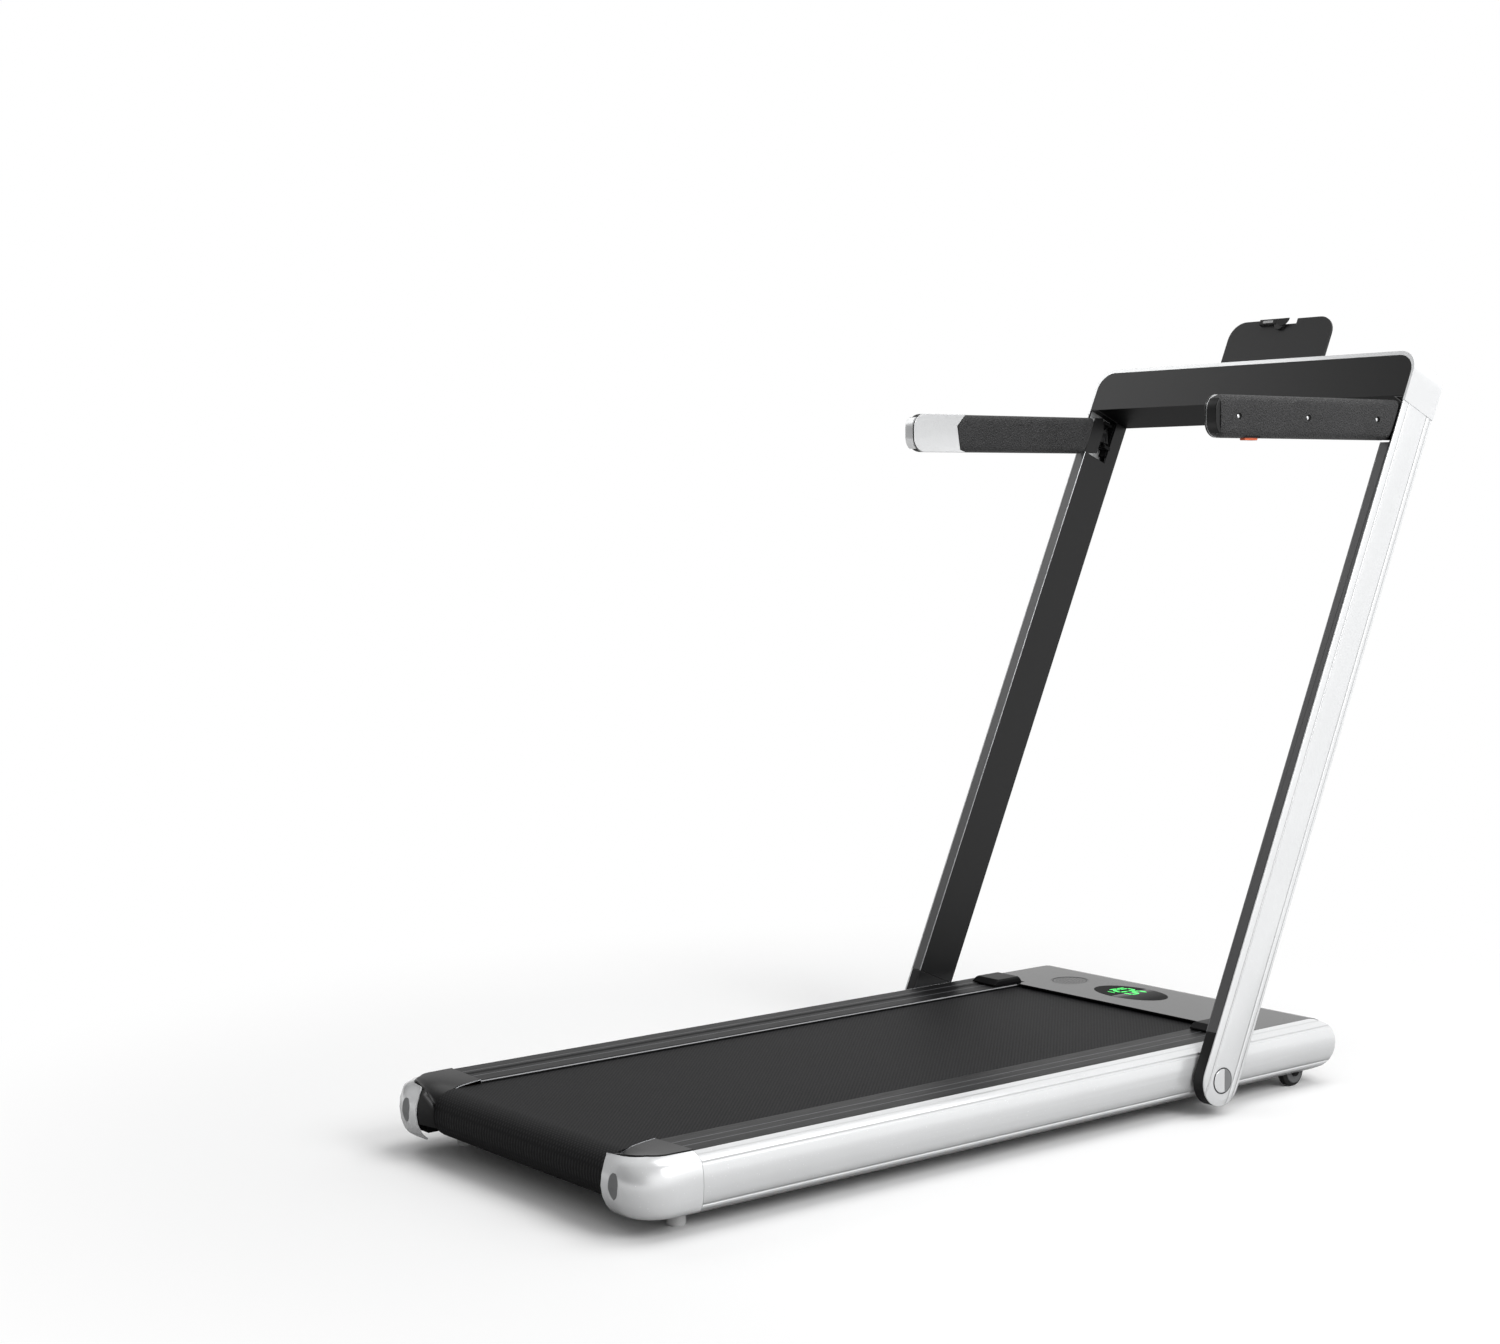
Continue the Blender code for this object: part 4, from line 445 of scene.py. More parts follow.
def cut_by(obj, tool_mesh):
    """Cut a mesh away from obj, at once."""
    tool = linked(tool_mesh.name, tool_mesh)
    boolean = obj.modifiers.new("cut", "BOOLEAN")
    boolean.operation = "DIFFERENCE"
    boolean.solver = "EXACT"
    boolean.object = tool
    name = obj.name
    mesh = evaluated(obj)
    bpy.data.objects.remove(tool, do_unlink=True)
    return linked(name, mesh)


def loft(name, rings, matrix=None):
    """Closed solid through rings of as many points each, with a flat face on the first and the last."""
    bm = bmesh.new()
    rows = [[bm.verts.new(point) for point in ring] for ring in rings]
    count = len(rows[0])
    for low, high in zip(rows, rows[1:]):
        for i in range(count):
            j = (i + 1) % count
            bm.faces.new((low[i], low[j], high[j], high[i]))
    bm.faces.new(rows[0])
    bm.faces.new(rows[-1])
    # Points that a full rounding leaves in one place become one
    bmesh.ops.remove_doubles(bm, verts=bm.verts, dist=0.00001)
    bmesh.ops.recalc_face_normals(bm, faces=bm.faces)
    if matrix is not None:
        bm.transform(matrix)
    return mesh_of(name, bm)


def prism(name, outline, low, high, matrix=None):
    """Solid between two copies of an outline of (y, z) points, at x low and x high."""
    return loft(name, [[(x, y, z) for y, z in outline] for x in (low, high)], matrix)


def arc(centre, radius, start, end, steps):
    """Points on an arc; angles in degrees from the first axis towards the second."""
    points = []
    for i in range(steps + 1):
        angle = math.radians(start + (end - start) * i / steps)
        points.append((centre[0] + radius * math.cos(angle), centre[1] + radius * math.sin(angle)))
    return points


def turned(name, profile, centre, axis, segments=32):
    """Solid of revolution about an axis through centre; the profile's points are (radius, height)."""
    bm = bmesh.new()
    angles = [2 * math.pi * i / segments for i in range(segments)]
    rings = []
    for radius, height in profile:
        around = angles if radius else angles[:1]
        rings.append([bm.verts.new((radius * math.cos(a), radius * math.sin(a), height)) for a in around])
    for low, high in zip(rings, rings[1:]):
        for i in range(segments):
            j = (i + 1) % segments
            corners = [low[i % len(low)], low[j % len(low)], high[j % len(high)], high[i % len(high)]]
            face = [v for k, v in enumerate(corners) if v not in corners[:k]]
            if len(face) > 2:
                bm.faces.new(face)
    bmesh.ops.recalc_face_normals(bm, faces=bm.faces)
    turn = Vector(axis).to_track_quat("Z", "Y").to_matrix().to_4x4()
    bm.transform(Matrix.Translation(Vector(centre)) @ turn)
    return mesh_of(name, bm)


def open_tree(name, inputs):
    """New Geometry Nodes tree with geometry in and out and the named inputs, and its input node."""
    tree = bpy.data.node_groups.new(name, "GeometryNodeTree")
    tree.interface.new_socket("Geometry", in_out="INPUT", socket_type="NodeSocketGeometry")
    for label, kind in inputs.items():
        tree.interface.new_socket(label, in_out="INPUT", socket_type=kind)
    tree.interface.new_socket("Geometry", in_out="OUTPUT", socket_type="NodeSocketGeometry")
    return tree, add(tree, "NodeGroupInput")


def close_tree(tree, copies, material):
    """End of a tree: its copies are made real and get one finish."""
    real = add(tree, "GeometryNodeRealizeInstances", {"Geometry": copies})
    done = add(tree, "GeometryNodeSetMaterial", {"Material": material, "Geometry": real})
    add(tree, "NodeGroupOutput", {"Geometry": done})
    return tree


def run_tree(name, tree, points, **inputs):
    """Plain mesh that a tree makes of loose points, with its inputs set by name."""
    base = bpy.data.meshes.new(name)
    base.from_pydata([tuple(point) for point in points], [], [])
    obj = linked(name, base)
    modifier = obj.modifiers.new(name, "NODES")
    modifier.node_group = tree
    for socket in tree.interface.items_tree:
        if socket.name in inputs:
            modifier[socket.identifier] = inputs[socket.name]
    return evaluated(obj)


def scatter(name, item_mesh, points, material):
    """Geometry Nodes: a copy of item_mesh on every point, as one plain mesh."""
    tree, given = open_tree("scatter_fittings", {"Item": "NodeSocketObject"})
    item = add(tree, "GeometryNodeObjectInfo", {"Object": (given, "Item")})
    dots = add(tree, "GeometryNodeMeshToPoints", {"Mesh": given})
    copies = add(tree, "GeometryNodeInstanceOnPoints", {"Points": dots, "Instance": (item, "Geometry")})
    close_tree(tree, copies, material)
    model = linked(f"{name}_item", item_mesh)
    mesh = run_tree(name, tree, points, Item=model)
    bpy.data.objects.remove(model, do_unlink=True)
    return mesh


def ring_tree(material, count=5):
    """Geometry Nodes: rings of small holes about a centre, each ring with six holes more than the last."""
    tree, given = open_tree("speaker_holes", {"Hole": "NodeSocketFloat", "Step": "NodeSocketFloat"})
    gather = add(tree, "GeometryNodeJoinGeometry")
    hole = add(tree, "GeometryNodeMeshCylinder", {"Vertices": 8, "Depth": 0.0002, "Radius": (given, "Hole")})
    for number in range(1, count + 1):
        radius = add(tree, "ShaderNodeMath", {0: (given, "Step"), 1: float(number)}, operation="MULTIPLY")
        circle = add(tree, "GeometryNodeMeshCircle", {"Vertices": 6 * number, "Radius": radius})
        holes = add(tree, "GeometryNodeInstanceOnPoints", {"Points": circle, "Instance": hole})
        tree.links.new(holes.outputs["Instances"], gather.inputs["Geometry"])
    return close_tree(tree, gather, material)


class TREADMILL_OT_silver(bpy.types.Operator):
    """Silver lacquered panels, rear caps, frame skins and the belt adjuster plugs"""
    bl_idname = "treadmill.silver"
    bl_label = "Silver parts"

    def execute(self, context):
        colours = context.scene.treadmill_colours
        lacquer = silver_lacquer(colours.lacquer)
        rim = gloss_abs(colours.black)
        panel = silver_lacquer(colours.lacquer, "silver_lacquer_side_panel", ((0, 0, 1), 0.0), PANEL_PROFILE)
        for side in SIDES:
            refine(f"side_panel_{side}", panel, 0.0008)
            refine(f"cap_outer_{side}", lacquer, 0.0)
            refine(f"pivot_cap_{side}", lacquer, 0.0)
            plate = refine(f"handle_plate_{side}", lacquer, 0.0006)
            plate.data.materials.append(rim)
            for face in plate.data.polygons:
                face.material_index = 0 if abs(face.normal.x) > 0.8 else 1
        refine("crossbar_shell", lacquer, 0.0012)
        across = BAR.to_3x3() @ Vector((0, 1, 0))
        start = across.dot(PIVOT)
        skin = silver_lacquer(colours.lacquer, "silver_lacquer_frame_skin", (across, start), SKIN_PROFILE)
        for side, sign in SIDES.items():
            self.skin(side, sign, skin)
            self.plug(side, sign, colours.plug)
            self.pivot_shade(side, sign, colours.plug)
        return {"FINISHED"}

    def skin(self, side, sign, lacquer):
        """Outer skin of an upright: a raised middle between a broad rear bevel and a narrow front one."""
        node = f"upright_shell_{side}"
        points = bar_points(node)
        top = max(p.z for p in points)
        outer = max(abs(p.x) for p in points)
        rear_band, front_band, drop = 0.013, 0.008, 0.0017

        def outline(middle, half):
            return arc((middle, 0), half, 180, 360, 32) + [(middle + half, top), (middle - half, top)]

        border = outline(0, BAR_DEPTH / 2)
        raised = outline((rear_band - front_band) / 2, (BAR_DEPTH - rear_band - front_band) / 2)
        rings = [[(sign * x, w, u) for w, u in ring]
                 for ring, x in ((border, outer - SKIN), (border, outer - drop), (raised, outer))]
        hole_radius, depth = 0.0183, 0.010
        profile = [(0, -depth), (hole_radius, -depth), (hole_radius, depth), (0, depth)]
        hole = turned("cap_hole", profile, (sign * outer, 0, 0), (sign, 0, 0))
        obj = cut_by(linked(node, loft(node, rings)), hole)
        bevelled(obj, 0.0009, 50)
        mesh = evaluated(obj)
        mesh.transform(BAR)
        piece(f"frame_skin_{side}", mesh, lacquer, "u_frame", (node,), angle=6.0)

    def plug(self, side, sign, colour):
        """Grey pear-shaped plug over the rear cap's adjuster opening, following the cap's surface."""
        node = f"cap_outer_{side}"
        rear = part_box(node)[0].y
        mesh = frame["nodes"][node].data
        cap = BVHTree.FromPolygons([v.co for v in mesh.vertices], [f.vertices for f in mesh.polygons])
        middle_x, middle_z = sign * 0.2467, 0.063
        reach, levels = 0.0162, 14
        oval_half, oval_tall = 0.0075, 0.0152
        tip_half, flare = 0.0006, 0.0011
        # Past the first depth the ray has gone through the opening, and the plug keeps the second
        through, kept = 0.012, 0.004
        rings = []
        for i in range(levels + 1):
            share = 2 * i / levels - 1
            rise = share * reach
            oval = oval_half * math.sqrt(max(0.0, 1 - (rise / oval_tall) ** 2))
            half = oval + tip_half + flare * (1 + share)
            row = []
            for end in (-1, 1):
                spot = Vector((middle_x + end * half, rear - 0.05, middle_z + rise))
                hit = cap.ray_cast(spot, Vector((0, 1, 0)))[0]
                spot.y = hit.y if hit and hit.y < rear + through else rear + kept
                row.append(spot)
            front, back = Vector((0, -0.0005, 0)), Vector((0, 0.0015, 0))
            rings.append([row[0] + front, row[1] + front, row[1] + back, row[0] + back])
        # Moulded grey ABS: dull beside the lacquer
        grey = finish(f"grey_abs_plug_{side}", colour, rough=(0.4, 0.5), vary=0.06)
        piece(f"adjuster_plug_{side}", loft("plug", rings), grey, "deck")

    def pivot_shade(self, side, sign, colour):
        """Grey half of the pivot cap, painted shade as of a sunken half beside a raised one, and a painted shadow
        ring round the cap.
        """
        # Outer face of the pivot caps
        face = 0.3306
        chord = arc((0, 0), 0.0176, -53, 101.4, 24)
        half = prism("half", chord, sign * (face - 0.0006), sign * (face + 0.0002), BAR)
        # Painted shade on half the cap: grey lacquer, sprayed like the silver, but plain and darker
        grey = finish(f"grey_lacquer_{side}", colour, grain=1.8, rough=(0.3, 0.4), depth=0.01, vary=0.04)
        piece(f"pivot_half_{side}", half, grey, "u_frame")
        inner, outer, low, high = 0.0174, 0.0187, -0.0006, 0.0001
        profile = [(inner, low), (inner, high), (outer, high), (outer, low), (inner, low)]
        ring = turned("ring", profile, (sign * face, 0, 0), (sign, 0, 0), 40)
        ring.transform(BAR)
        # Painted shadow of the gap round the cap: a thin matt dark line
        dark = finish(f"black_seal_ring_{side}", "#1a1a1b", rough=(0.5, 0.6), depth=0.01, vary=0.08)
        piece(f"pivot_ring_{side}", ring, dark, "u_frame", angle=40)


class TREADMILL_OT_black(bpy.types.Operator):
    """Black housings, boots, hood, guards, and thin bright lines of painted highlight down the uprights and round
    each guard's rim
    """
    bl_idname = "treadmill.black"
    bl_label = "Black parts"

    def execute(self, context):
        colours, sizes = context.scene.treadmill_colours, context.scene.treadmill_sizes
        black = black_abs(colours.black)
        gloss = gloss_abs(colours.black)
        lacquer = silver_lacquer(colours.lacquer, "silver_lacquer_handle_cap")
        low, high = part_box("foot_rail_right")
        width = high.x - low.x
        # Ridges that get a painted highlight line
        highlight_ridges = (low.x + 0.0012, low.x + 0.36 * width, low.x + 0.68 * width)
        rail = foot_rail_finish(colours.rail, highlight_ridges)
        plain = foot_rail_finish(colours.rail)
        for side in SIDES:
            self.strip(refine(f"upright_housing_{side}", black, sizes.edge))
            refine(f"upright_boot_{side}", black, sizes.edge)
            refine(f"cap_guard_{side}", black, 0.0)
            refine(f"hinge_cover_{side}", plain, sizes.edge)
            refine(f"foot_rail_{side}", rail, 0.0004)
            # The left cap is silver, a painted reflection; the right cap, the same part, stays black
            refine(f"handle_cap_{side}", black if side == "right" else lacquer, 0.0022, segments=3)
        crossbar = refine("crossbar_housing", black, sizes.edge)
        # The same ABS where it faces down, dull with hardly any reflection: painted shade on the crossbar's
        # underside
        underside = finish("black_abs_underside", colours.black, rough=(0.45, 0.55), vary=0.10, IOR=1.12)
        crossbar.data.materials.append(underside)
        down = BAR.to_3x3() @ Vector((0, 0, -1))
        for face in crossbar.data.polygons:
            if face.normal.dot(down) > 0.8:
                face.material_index = 1
        refine("motor_hood", hood_abs(colours.black), 0.0006)
        refine("power_inlet", black, 0.0003)
        refine("power_rocker", gloss, 0.0003)
        paint_node("bottom_pan", black)
        self.edge_highlights()
        self.guard_highlights()
        return {"FINISHED"}

    def guard_highlights(self):
        """Painted highlight along the rim of each rear guard, from the rail down round the roller beside the belt.
        """
        # Painted highlight of the guard's edge, finished as rolled aluminium: a thin satin line
        bright = finish("satin_aluminium_rim", "#77787a", grain=0.8, rough=(0.22, 0.32), depth=0.01,
                        vary=0.05, Metallic=0.9)
        # Along the rim: places from the guard's rear, and heights
        line = [(0.0915, 0.0966), (0.0750, 0.0952), (0.0585, 0.0930), (0.0476, 0.0893), (0.0366, 0.0835),
                (0.0285, 0.0752), (0.0236, 0.0641), (0.0233, 0.0537), (0.0272, 0.0407)]
        guard_length, sunk = 0.0920, 0.0004
        half_width, half_height = 0.0008, 0.0010
        for side, sign in SIDES.items():
            low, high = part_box(f"cap_guard_{side}")
            rear = high.y - guard_length
            inner = sign * (min(abs(low.x), abs(high.x)) - 0.0002)
            rings = []
            for number, (y, z) in enumerate(line):
                before, after = line[max(number - 1, 0)], line[min(number + 1, len(line) - 1)]
                along = Vector((0, after[0] - before[0], after[1] - before[1])).normalized()
                across = Vector((0, -along.z, along.y))
                middle = Vector((inner, rear + y, z)) - across * sunk
                rings.append([middle + Vector((a * half_width, 0, 0)) + across * b * half_height
                              for a, b in arc((0, 0), 1.0, 0, 315, 7)])
            piece(f"guard_rim_{side}", loft("rim", rings), bright, "deck")

    def strip(self, housing):
        """Painted grey sheen along the rear face of an upright's black housing, and a painted shadow liner on its
        ledges.
        """
        satin = finish(f"{housing.name}_grey_strip", "#565657", rough=(0.3, 0.4), depth=0.015, vary=0.06)
        housing.data.materials.append(satin)
        housing.data.materials.append(rubber(f"{housing.name}_shadow_liner", "#050505"))
        rear = BAR.to_3x3() @ Vector((0, -1, 0))
        along = BAR.to_3x3() @ Vector((0, 0, 1))
        for face in housing.data.polygons:
            middle = BAR.inverted() @ face.center
            # Rear face: painted grey sheen; faces along the upright: painted shadow
            if face.normal.dot(rear) > 0.97 and abs(middle.y + BAR_DEPTH / 2) < 0.001:
                face.material_index = 1
            elif face.normal.dot(along) > 0.9:
                face.material_index = 2

    def edge_highlights(self):
        """Thin bright bead down the inner rear edge of each upright, to just under the crossbar: a painted
        highlight of that edge.
        """
        # Painted highlight of the edge, finished as drawn aluminium: a thin satin line, streaked lengthwise
        bright = finish("satin_aluminium_bead", "#a9aaac", grain=0.8, rough=(0.25, 0.35), depth=0.01,
                        vary=0.05, stretch=(1, 1, 0.05), Metallic=0.9)
        radius, inset = 0.0009, 0.0006
        bar_length, crossbar_height = 1.048, 0.0765
        for side, sign in SIDES.items():
            points = bar_points(f"upright_housing_{side}")
            inner = min(abs(p.x) for p in points) + inset
            rear = inset - BAR_DEPTH / 2
            rings = [[(sign * (inner + a), rear + b, u) for a, b in arc((0, 0), radius, 0, 315, 7)]
                     for u in (min(p.z for p in points), bar_length - crossbar_height)]
            piece(f"edge_bead_{side}", loft("bead", rings, BAR), bright, "u_frame")


class TREADMILL_OT_deck(bpy.types.Operator):
    """Running belt, rollers, wheels, feet and the works under the hood"""
    bl_idname = "treadmill.deck"
    bl_label = "Deck and works"

    def execute(self, context):
        colours = context.scene.treadmill_colours
        refine("running_belt", belt_finish(colours.belt), 0.0)
        steel = brushed_steel()
        for node in ("front_roller", "rear_roller", "front_axle", "rear_axle", "motor_rotor"):
            refine(node, steel, 0.0)
        # Black-oxidised steel: dark, with a faint metal sheen
        oxide = finish("black_oxidised_steel", "#141415", grain=0.8, rough=(0.35, 0.5), Metallic=0.6)
        for side in SIDES:
            refine(f"handle_core_{side}", oxide, 0.0)
        coat = powder_coat()
        for node in ("frame_tube", "cross_member", "motor_bracket", "side_beam_left", "side_beam_right",
                     "pivot_bracket_left", "pivot_bracket_right"):
            refine(node, coat, 0.0)
        black_rubber = rubber("black_rubber_moulded", "#1b1b1b")
        for node in ("wheel_left", "wheel_right", "drive_belt", "deck_cushion_left", "deck_cushion_right"):
            refine(node, black_rubber, 0.0)
        pale = rubber("pale_rubber_moulded", "#cfcfcf")
        for side in SIDES:
            refine(f"rear_foot_{side}", pale, 0.0)
        paint_node("deck_board", board_finish())
        circuit = circuit_finish()
        paint_node("controller_board", circuit)
        paint_node("display_board", circuit)
        # Zinc-plated motor can: dull grey metal
        casing = finish("zinc_plated_motor_can", "#6d6f72", grain=1.0, rough=(0.3, 0.45), depth=0.01,
                        vary=0.08, Metallic=0.9)
        refine("motor_casing", casing, 0.0)
        self.hubs()
        return {"FINISHED"}

    def hubs(self):
        """Grey hub face with a raised ring on the outer side of each transport wheel."""
        # Moulded nylon: a dull mid grey
        grey = finish("grey_nylon_hub", "#5a5b5c", rough=(0.4, 0.5), vary=0.08)
        profile = [(0.0076, -0.0002), (0.0172, -0.0002), (0.0172, 0.0005), (0.0160, 0.0009), (0.0148, 0.0005),
                   (0.0076, 0.0005), (0.0076, -0.0002)]
        for side, sign in SIDES.items():
            low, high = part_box(f"wheel_{side}")
            middle = (low + high) / 2
            middle.x = high.x if sign > 0 else low.x
            hub = turned("hub", profile, middle, (sign, 0, 0))
            piece(f"wheel_hub_{side}", hub, grey, f"{side}_wheel")


class TREADMILL_OT_grips(bpy.types.Operator):
    """Foam pads of the two handles, their screws, root covers and the safety key"""
    bl_idname = "treadmill.grips"
    bl_label = "Grips"

    def execute(self, context):
        colours, sizes = context.scene.treadmill_colours, context.scene.treadmill_sizes
        foam = foam_finish(colours.foam)
        bright = chrome()
        for side, sign in SIDES.items():
            self.pad(side, sign, foam, sizes)
            self.screws(side, sign, bright, sizes)
        refine("safety_key", key_finish(colours.key), 0.0006)
        self.root_covers(colours.black)
        return {"FINISHED"}

    def measures(self, side):
        """A pad's rear end, its root, its middle, and half its height and thickness."""
        low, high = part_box(f"handle_grip_{side}")
        half, thick = (high.z - low.z) / 2, (high.x - low.x) / 2
        return low.y, high.y - half * math.tan(LEAN), (low + high) / 2, half, thick

    def section(self):
        """Rounded rectangle as signs of each corner's centre and, round it, the way out from the centre."""
        points = []
        for x, z, first in ((1, 1, 0), (-1, 1, 90), (-1, -1, 180), (1, -1, 270)):
            points += [(x, z, a, b) for a, b in arc((0, 0), 1.0, first, first + 90, 6)]
            if x * z > 0:
                points += [(x - 2 * x * k / 6, z, 0, z) for k in range(1, 6)]
            else:
                points += [(x, z - 2 * z * k / 10, x, 0) for k in range(1, 10)]
        return points

    def pad(self, side, sign, foam, sizes):
        """Firm foam pad: rounded rectangle in section, crowned, cut back over the silver tip plate."""
        start, root, middle, half, thick = self.measures(side)
        tip = start - CAP_LENGTH
        radius, steps = sizes.grip_round, 96
        crown, slimmer, rolled_in, tucked = 0.0016, 0.985, 0.0016, 0.0004
        rings = []
        for k in range(steps + 1):
            t = k / steps
            from_tip, from_root = min(k / 1.5, 1.0), min((steps - k) / 1.5, 1.0)
            pinch = rolled_in * (1 - math.sqrt(max(0.0, 1 - (1 - from_root) ** 2))) + tucked * (1 - from_tip)
            into_round = max(0.0, tip + TIP_ROUND - (start + t * (root - start)))
            tall = half - TIP_ROUND + math.sqrt(max(0.0, TIP_ROUND ** 2 - into_round ** 2))
            ring = []
            for corner_x, corner_z, a, b in self.section():
                x = corner_x * (thick - radius) + a * radius
                z = corner_z * (tall - radius) + b * radius
                x += crown * (x / thick) * (1 - (z / half) ** 2)
                x *= 1 - pinch / thick
                z *= 1 - pinch / half
                y = start + t * (root + z * math.tan(LEAN) - start)
                ring.append((middle.x + x * slimmer, y, middle.z + z))
            rings.append(ring)
        obj = linked(f"grip_pad_{side}", loft(f"grip_pad_{side}", rings))
        obj = cut_by(obj, self.plate_cut(sign, tip, middle, half, thick))
        recess = [(0, 0.0), (0.0044, 0.0), (0.0050, 0.006), (0, 0.006)]
        floor = middle.x + sign * (thick - 0.0020)
        for y in self.screw_places(tip):
            obj = cut_by(obj, turned("recess", recess, (floor, y, middle.z), (sign, 0, 0), 20))
        if side == "right":
            obj = cut_by(obj, self.key_pocket(middle))
        mesh = obj.data
        bpy.data.objects.remove(obj, do_unlink=True)
        node = f"handle_grip_{side}"
        made = piece(f"grip_pad_{side}", mesh, foam, f"{side}_handle", (node,), angle=40)

    def plate_cut(self, sign, tip, middle, half, thick):
        """Pad's chevron end on the handle's inner face, where the silver tip plate shows."""
        point, shoulder, past, beyond = tip + 0.0925, tip + 0.1105, tip - 0.02, 0.05
        chevron = [(past, -beyond), (shoulder, -beyond), (shoulder, -half), (point + 0.006, 0.004 - half),
                   (point, half - 0.018), (shoulder, half), (shoulder, beyond), (past, beyond)]
        chevron = [(y, middle.z + z) for y, z in chevron]
        cut_depth, outside = 0.0038, 0.03
        low, high = sorted((middle.x - sign * (thick - cut_depth), middle.x - sign * outside))
        return prism("tool", chevron, low, high)

    def key_pocket(self, middle):
        """Room for the safety key in the right pad's underside."""
        low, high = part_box("safety_key")
        gap_along, gap_across = 0.0028, 0.0033
        rear, front = low.y - gap_along, high.y + gap_along
        below, roof = middle.z - 0.05, middle.z - 0.0140
        outline = [(rear, below), (front, below), (front, roof), (rear, roof)]
        return prism("pocket", outline, low.x - gap_across, high.x + gap_across)

    def root_covers(self, colour):
        """Cover on each handle's root, flush with the upright, over the hinge's recess."""
        black = black_abs(colour)
        slope, half = math.tan(LEAN), 0.0294
        # Edges of the cover across the upright, and how far past the hinge it may reach
        rear_edge, front_edge, longest = -0.0372, -0.0108, 0.0115
        clear, thick = 0.0002, 0.0018
        # Where each cover stops short of the hinge's ears, so that it clears them when folded
        limits = {"left": -0.0090, "right": 0.0040}
        for side, sign in SIDES.items():
            joint = Vector(JOINTS[f"{side}_handle_fold"]["pos_m"])
            inner = min(abs(p.x) for p in bar_points(f"upright_boot_{side}"))
            depth = (BAR.inverted() @ joint).y
            back = (rear_edge - depth) / math.cos(LEAN)
            front = min((front_edge - depth) / math.cos(LEAN), longest)
            limit = limits[side]
            outline = [(back - half * slope, -half), (front - half * slope, -half),
                       (limit, (limit - front) / slope), (limit, half), (back + half * slope, half)]
            outline = [(joint.y + y, joint.z + z) for y, z in outline]
            low, high = sorted((sign * (inner + clear), sign * (inner + clear + thick)))
            cover = prism("cover", outline, low, high)
            piece(f"root_cover_{side}", cover, black, f"{side}_handle")

    def screw_places(self, tip):
        """Where the three screws sit along the handle."""
        handle_length = 0.392
        return [tip + handle_length * share for share in (0.12, 0.497, 0.893)]

    def screws(self, side, sign, bright, sizes):
        """Three chrome screws, each in a black cup, on the handle's outer face."""
        start, _, middle, _, thick = self.measures(side)
        x = middle.x + sign * (thick - 0.0012)
        points = [(x, y, middle.z) for y in self.screw_places(start - CAP_LENGTH)]
        profile = [(0, 0.0002), (0.0008, 0.0003), (0.0010, 0.0011), (0.0018, 0.0010), (sizes.screw, 0.0005),
                   (sizes.screw, 0.0), (0, 0.0)]
        head = turned("screw_head", profile, (0, 0, 0), (sign, 0, 0), 16)
        mesh = scatter(f"grip_screws_{side}", head, points, bright)
        piece(f"grip_screws_{side}", mesh, bright, f"{side}_handle", angle=30)
        profile = [(0, 0.0001), (0.0026, 0.0002), (0.0040, 0.0004), (0.0043, 0.0014), (0.0046, 0.0014),
                   (0.0046, -0.0002), (0, -0.0002)]
        cup = turned("screw_cup", profile, (0, 0, 0), (sign, 0, 0), 20)
        # Painted steel cup: matt black, so that the screw's head stands out
        dark = finish(f"black_washer_{side}", "#050505", rough=(0.6, 0.7), depth=0.01, vary=0.1)
        mesh = scatter(f"grip_screw_cups_{side}", cup, points, dark)
        piece(f"grip_screw_cups_{side}", mesh, dark, f"{side}_handle", angle=30)


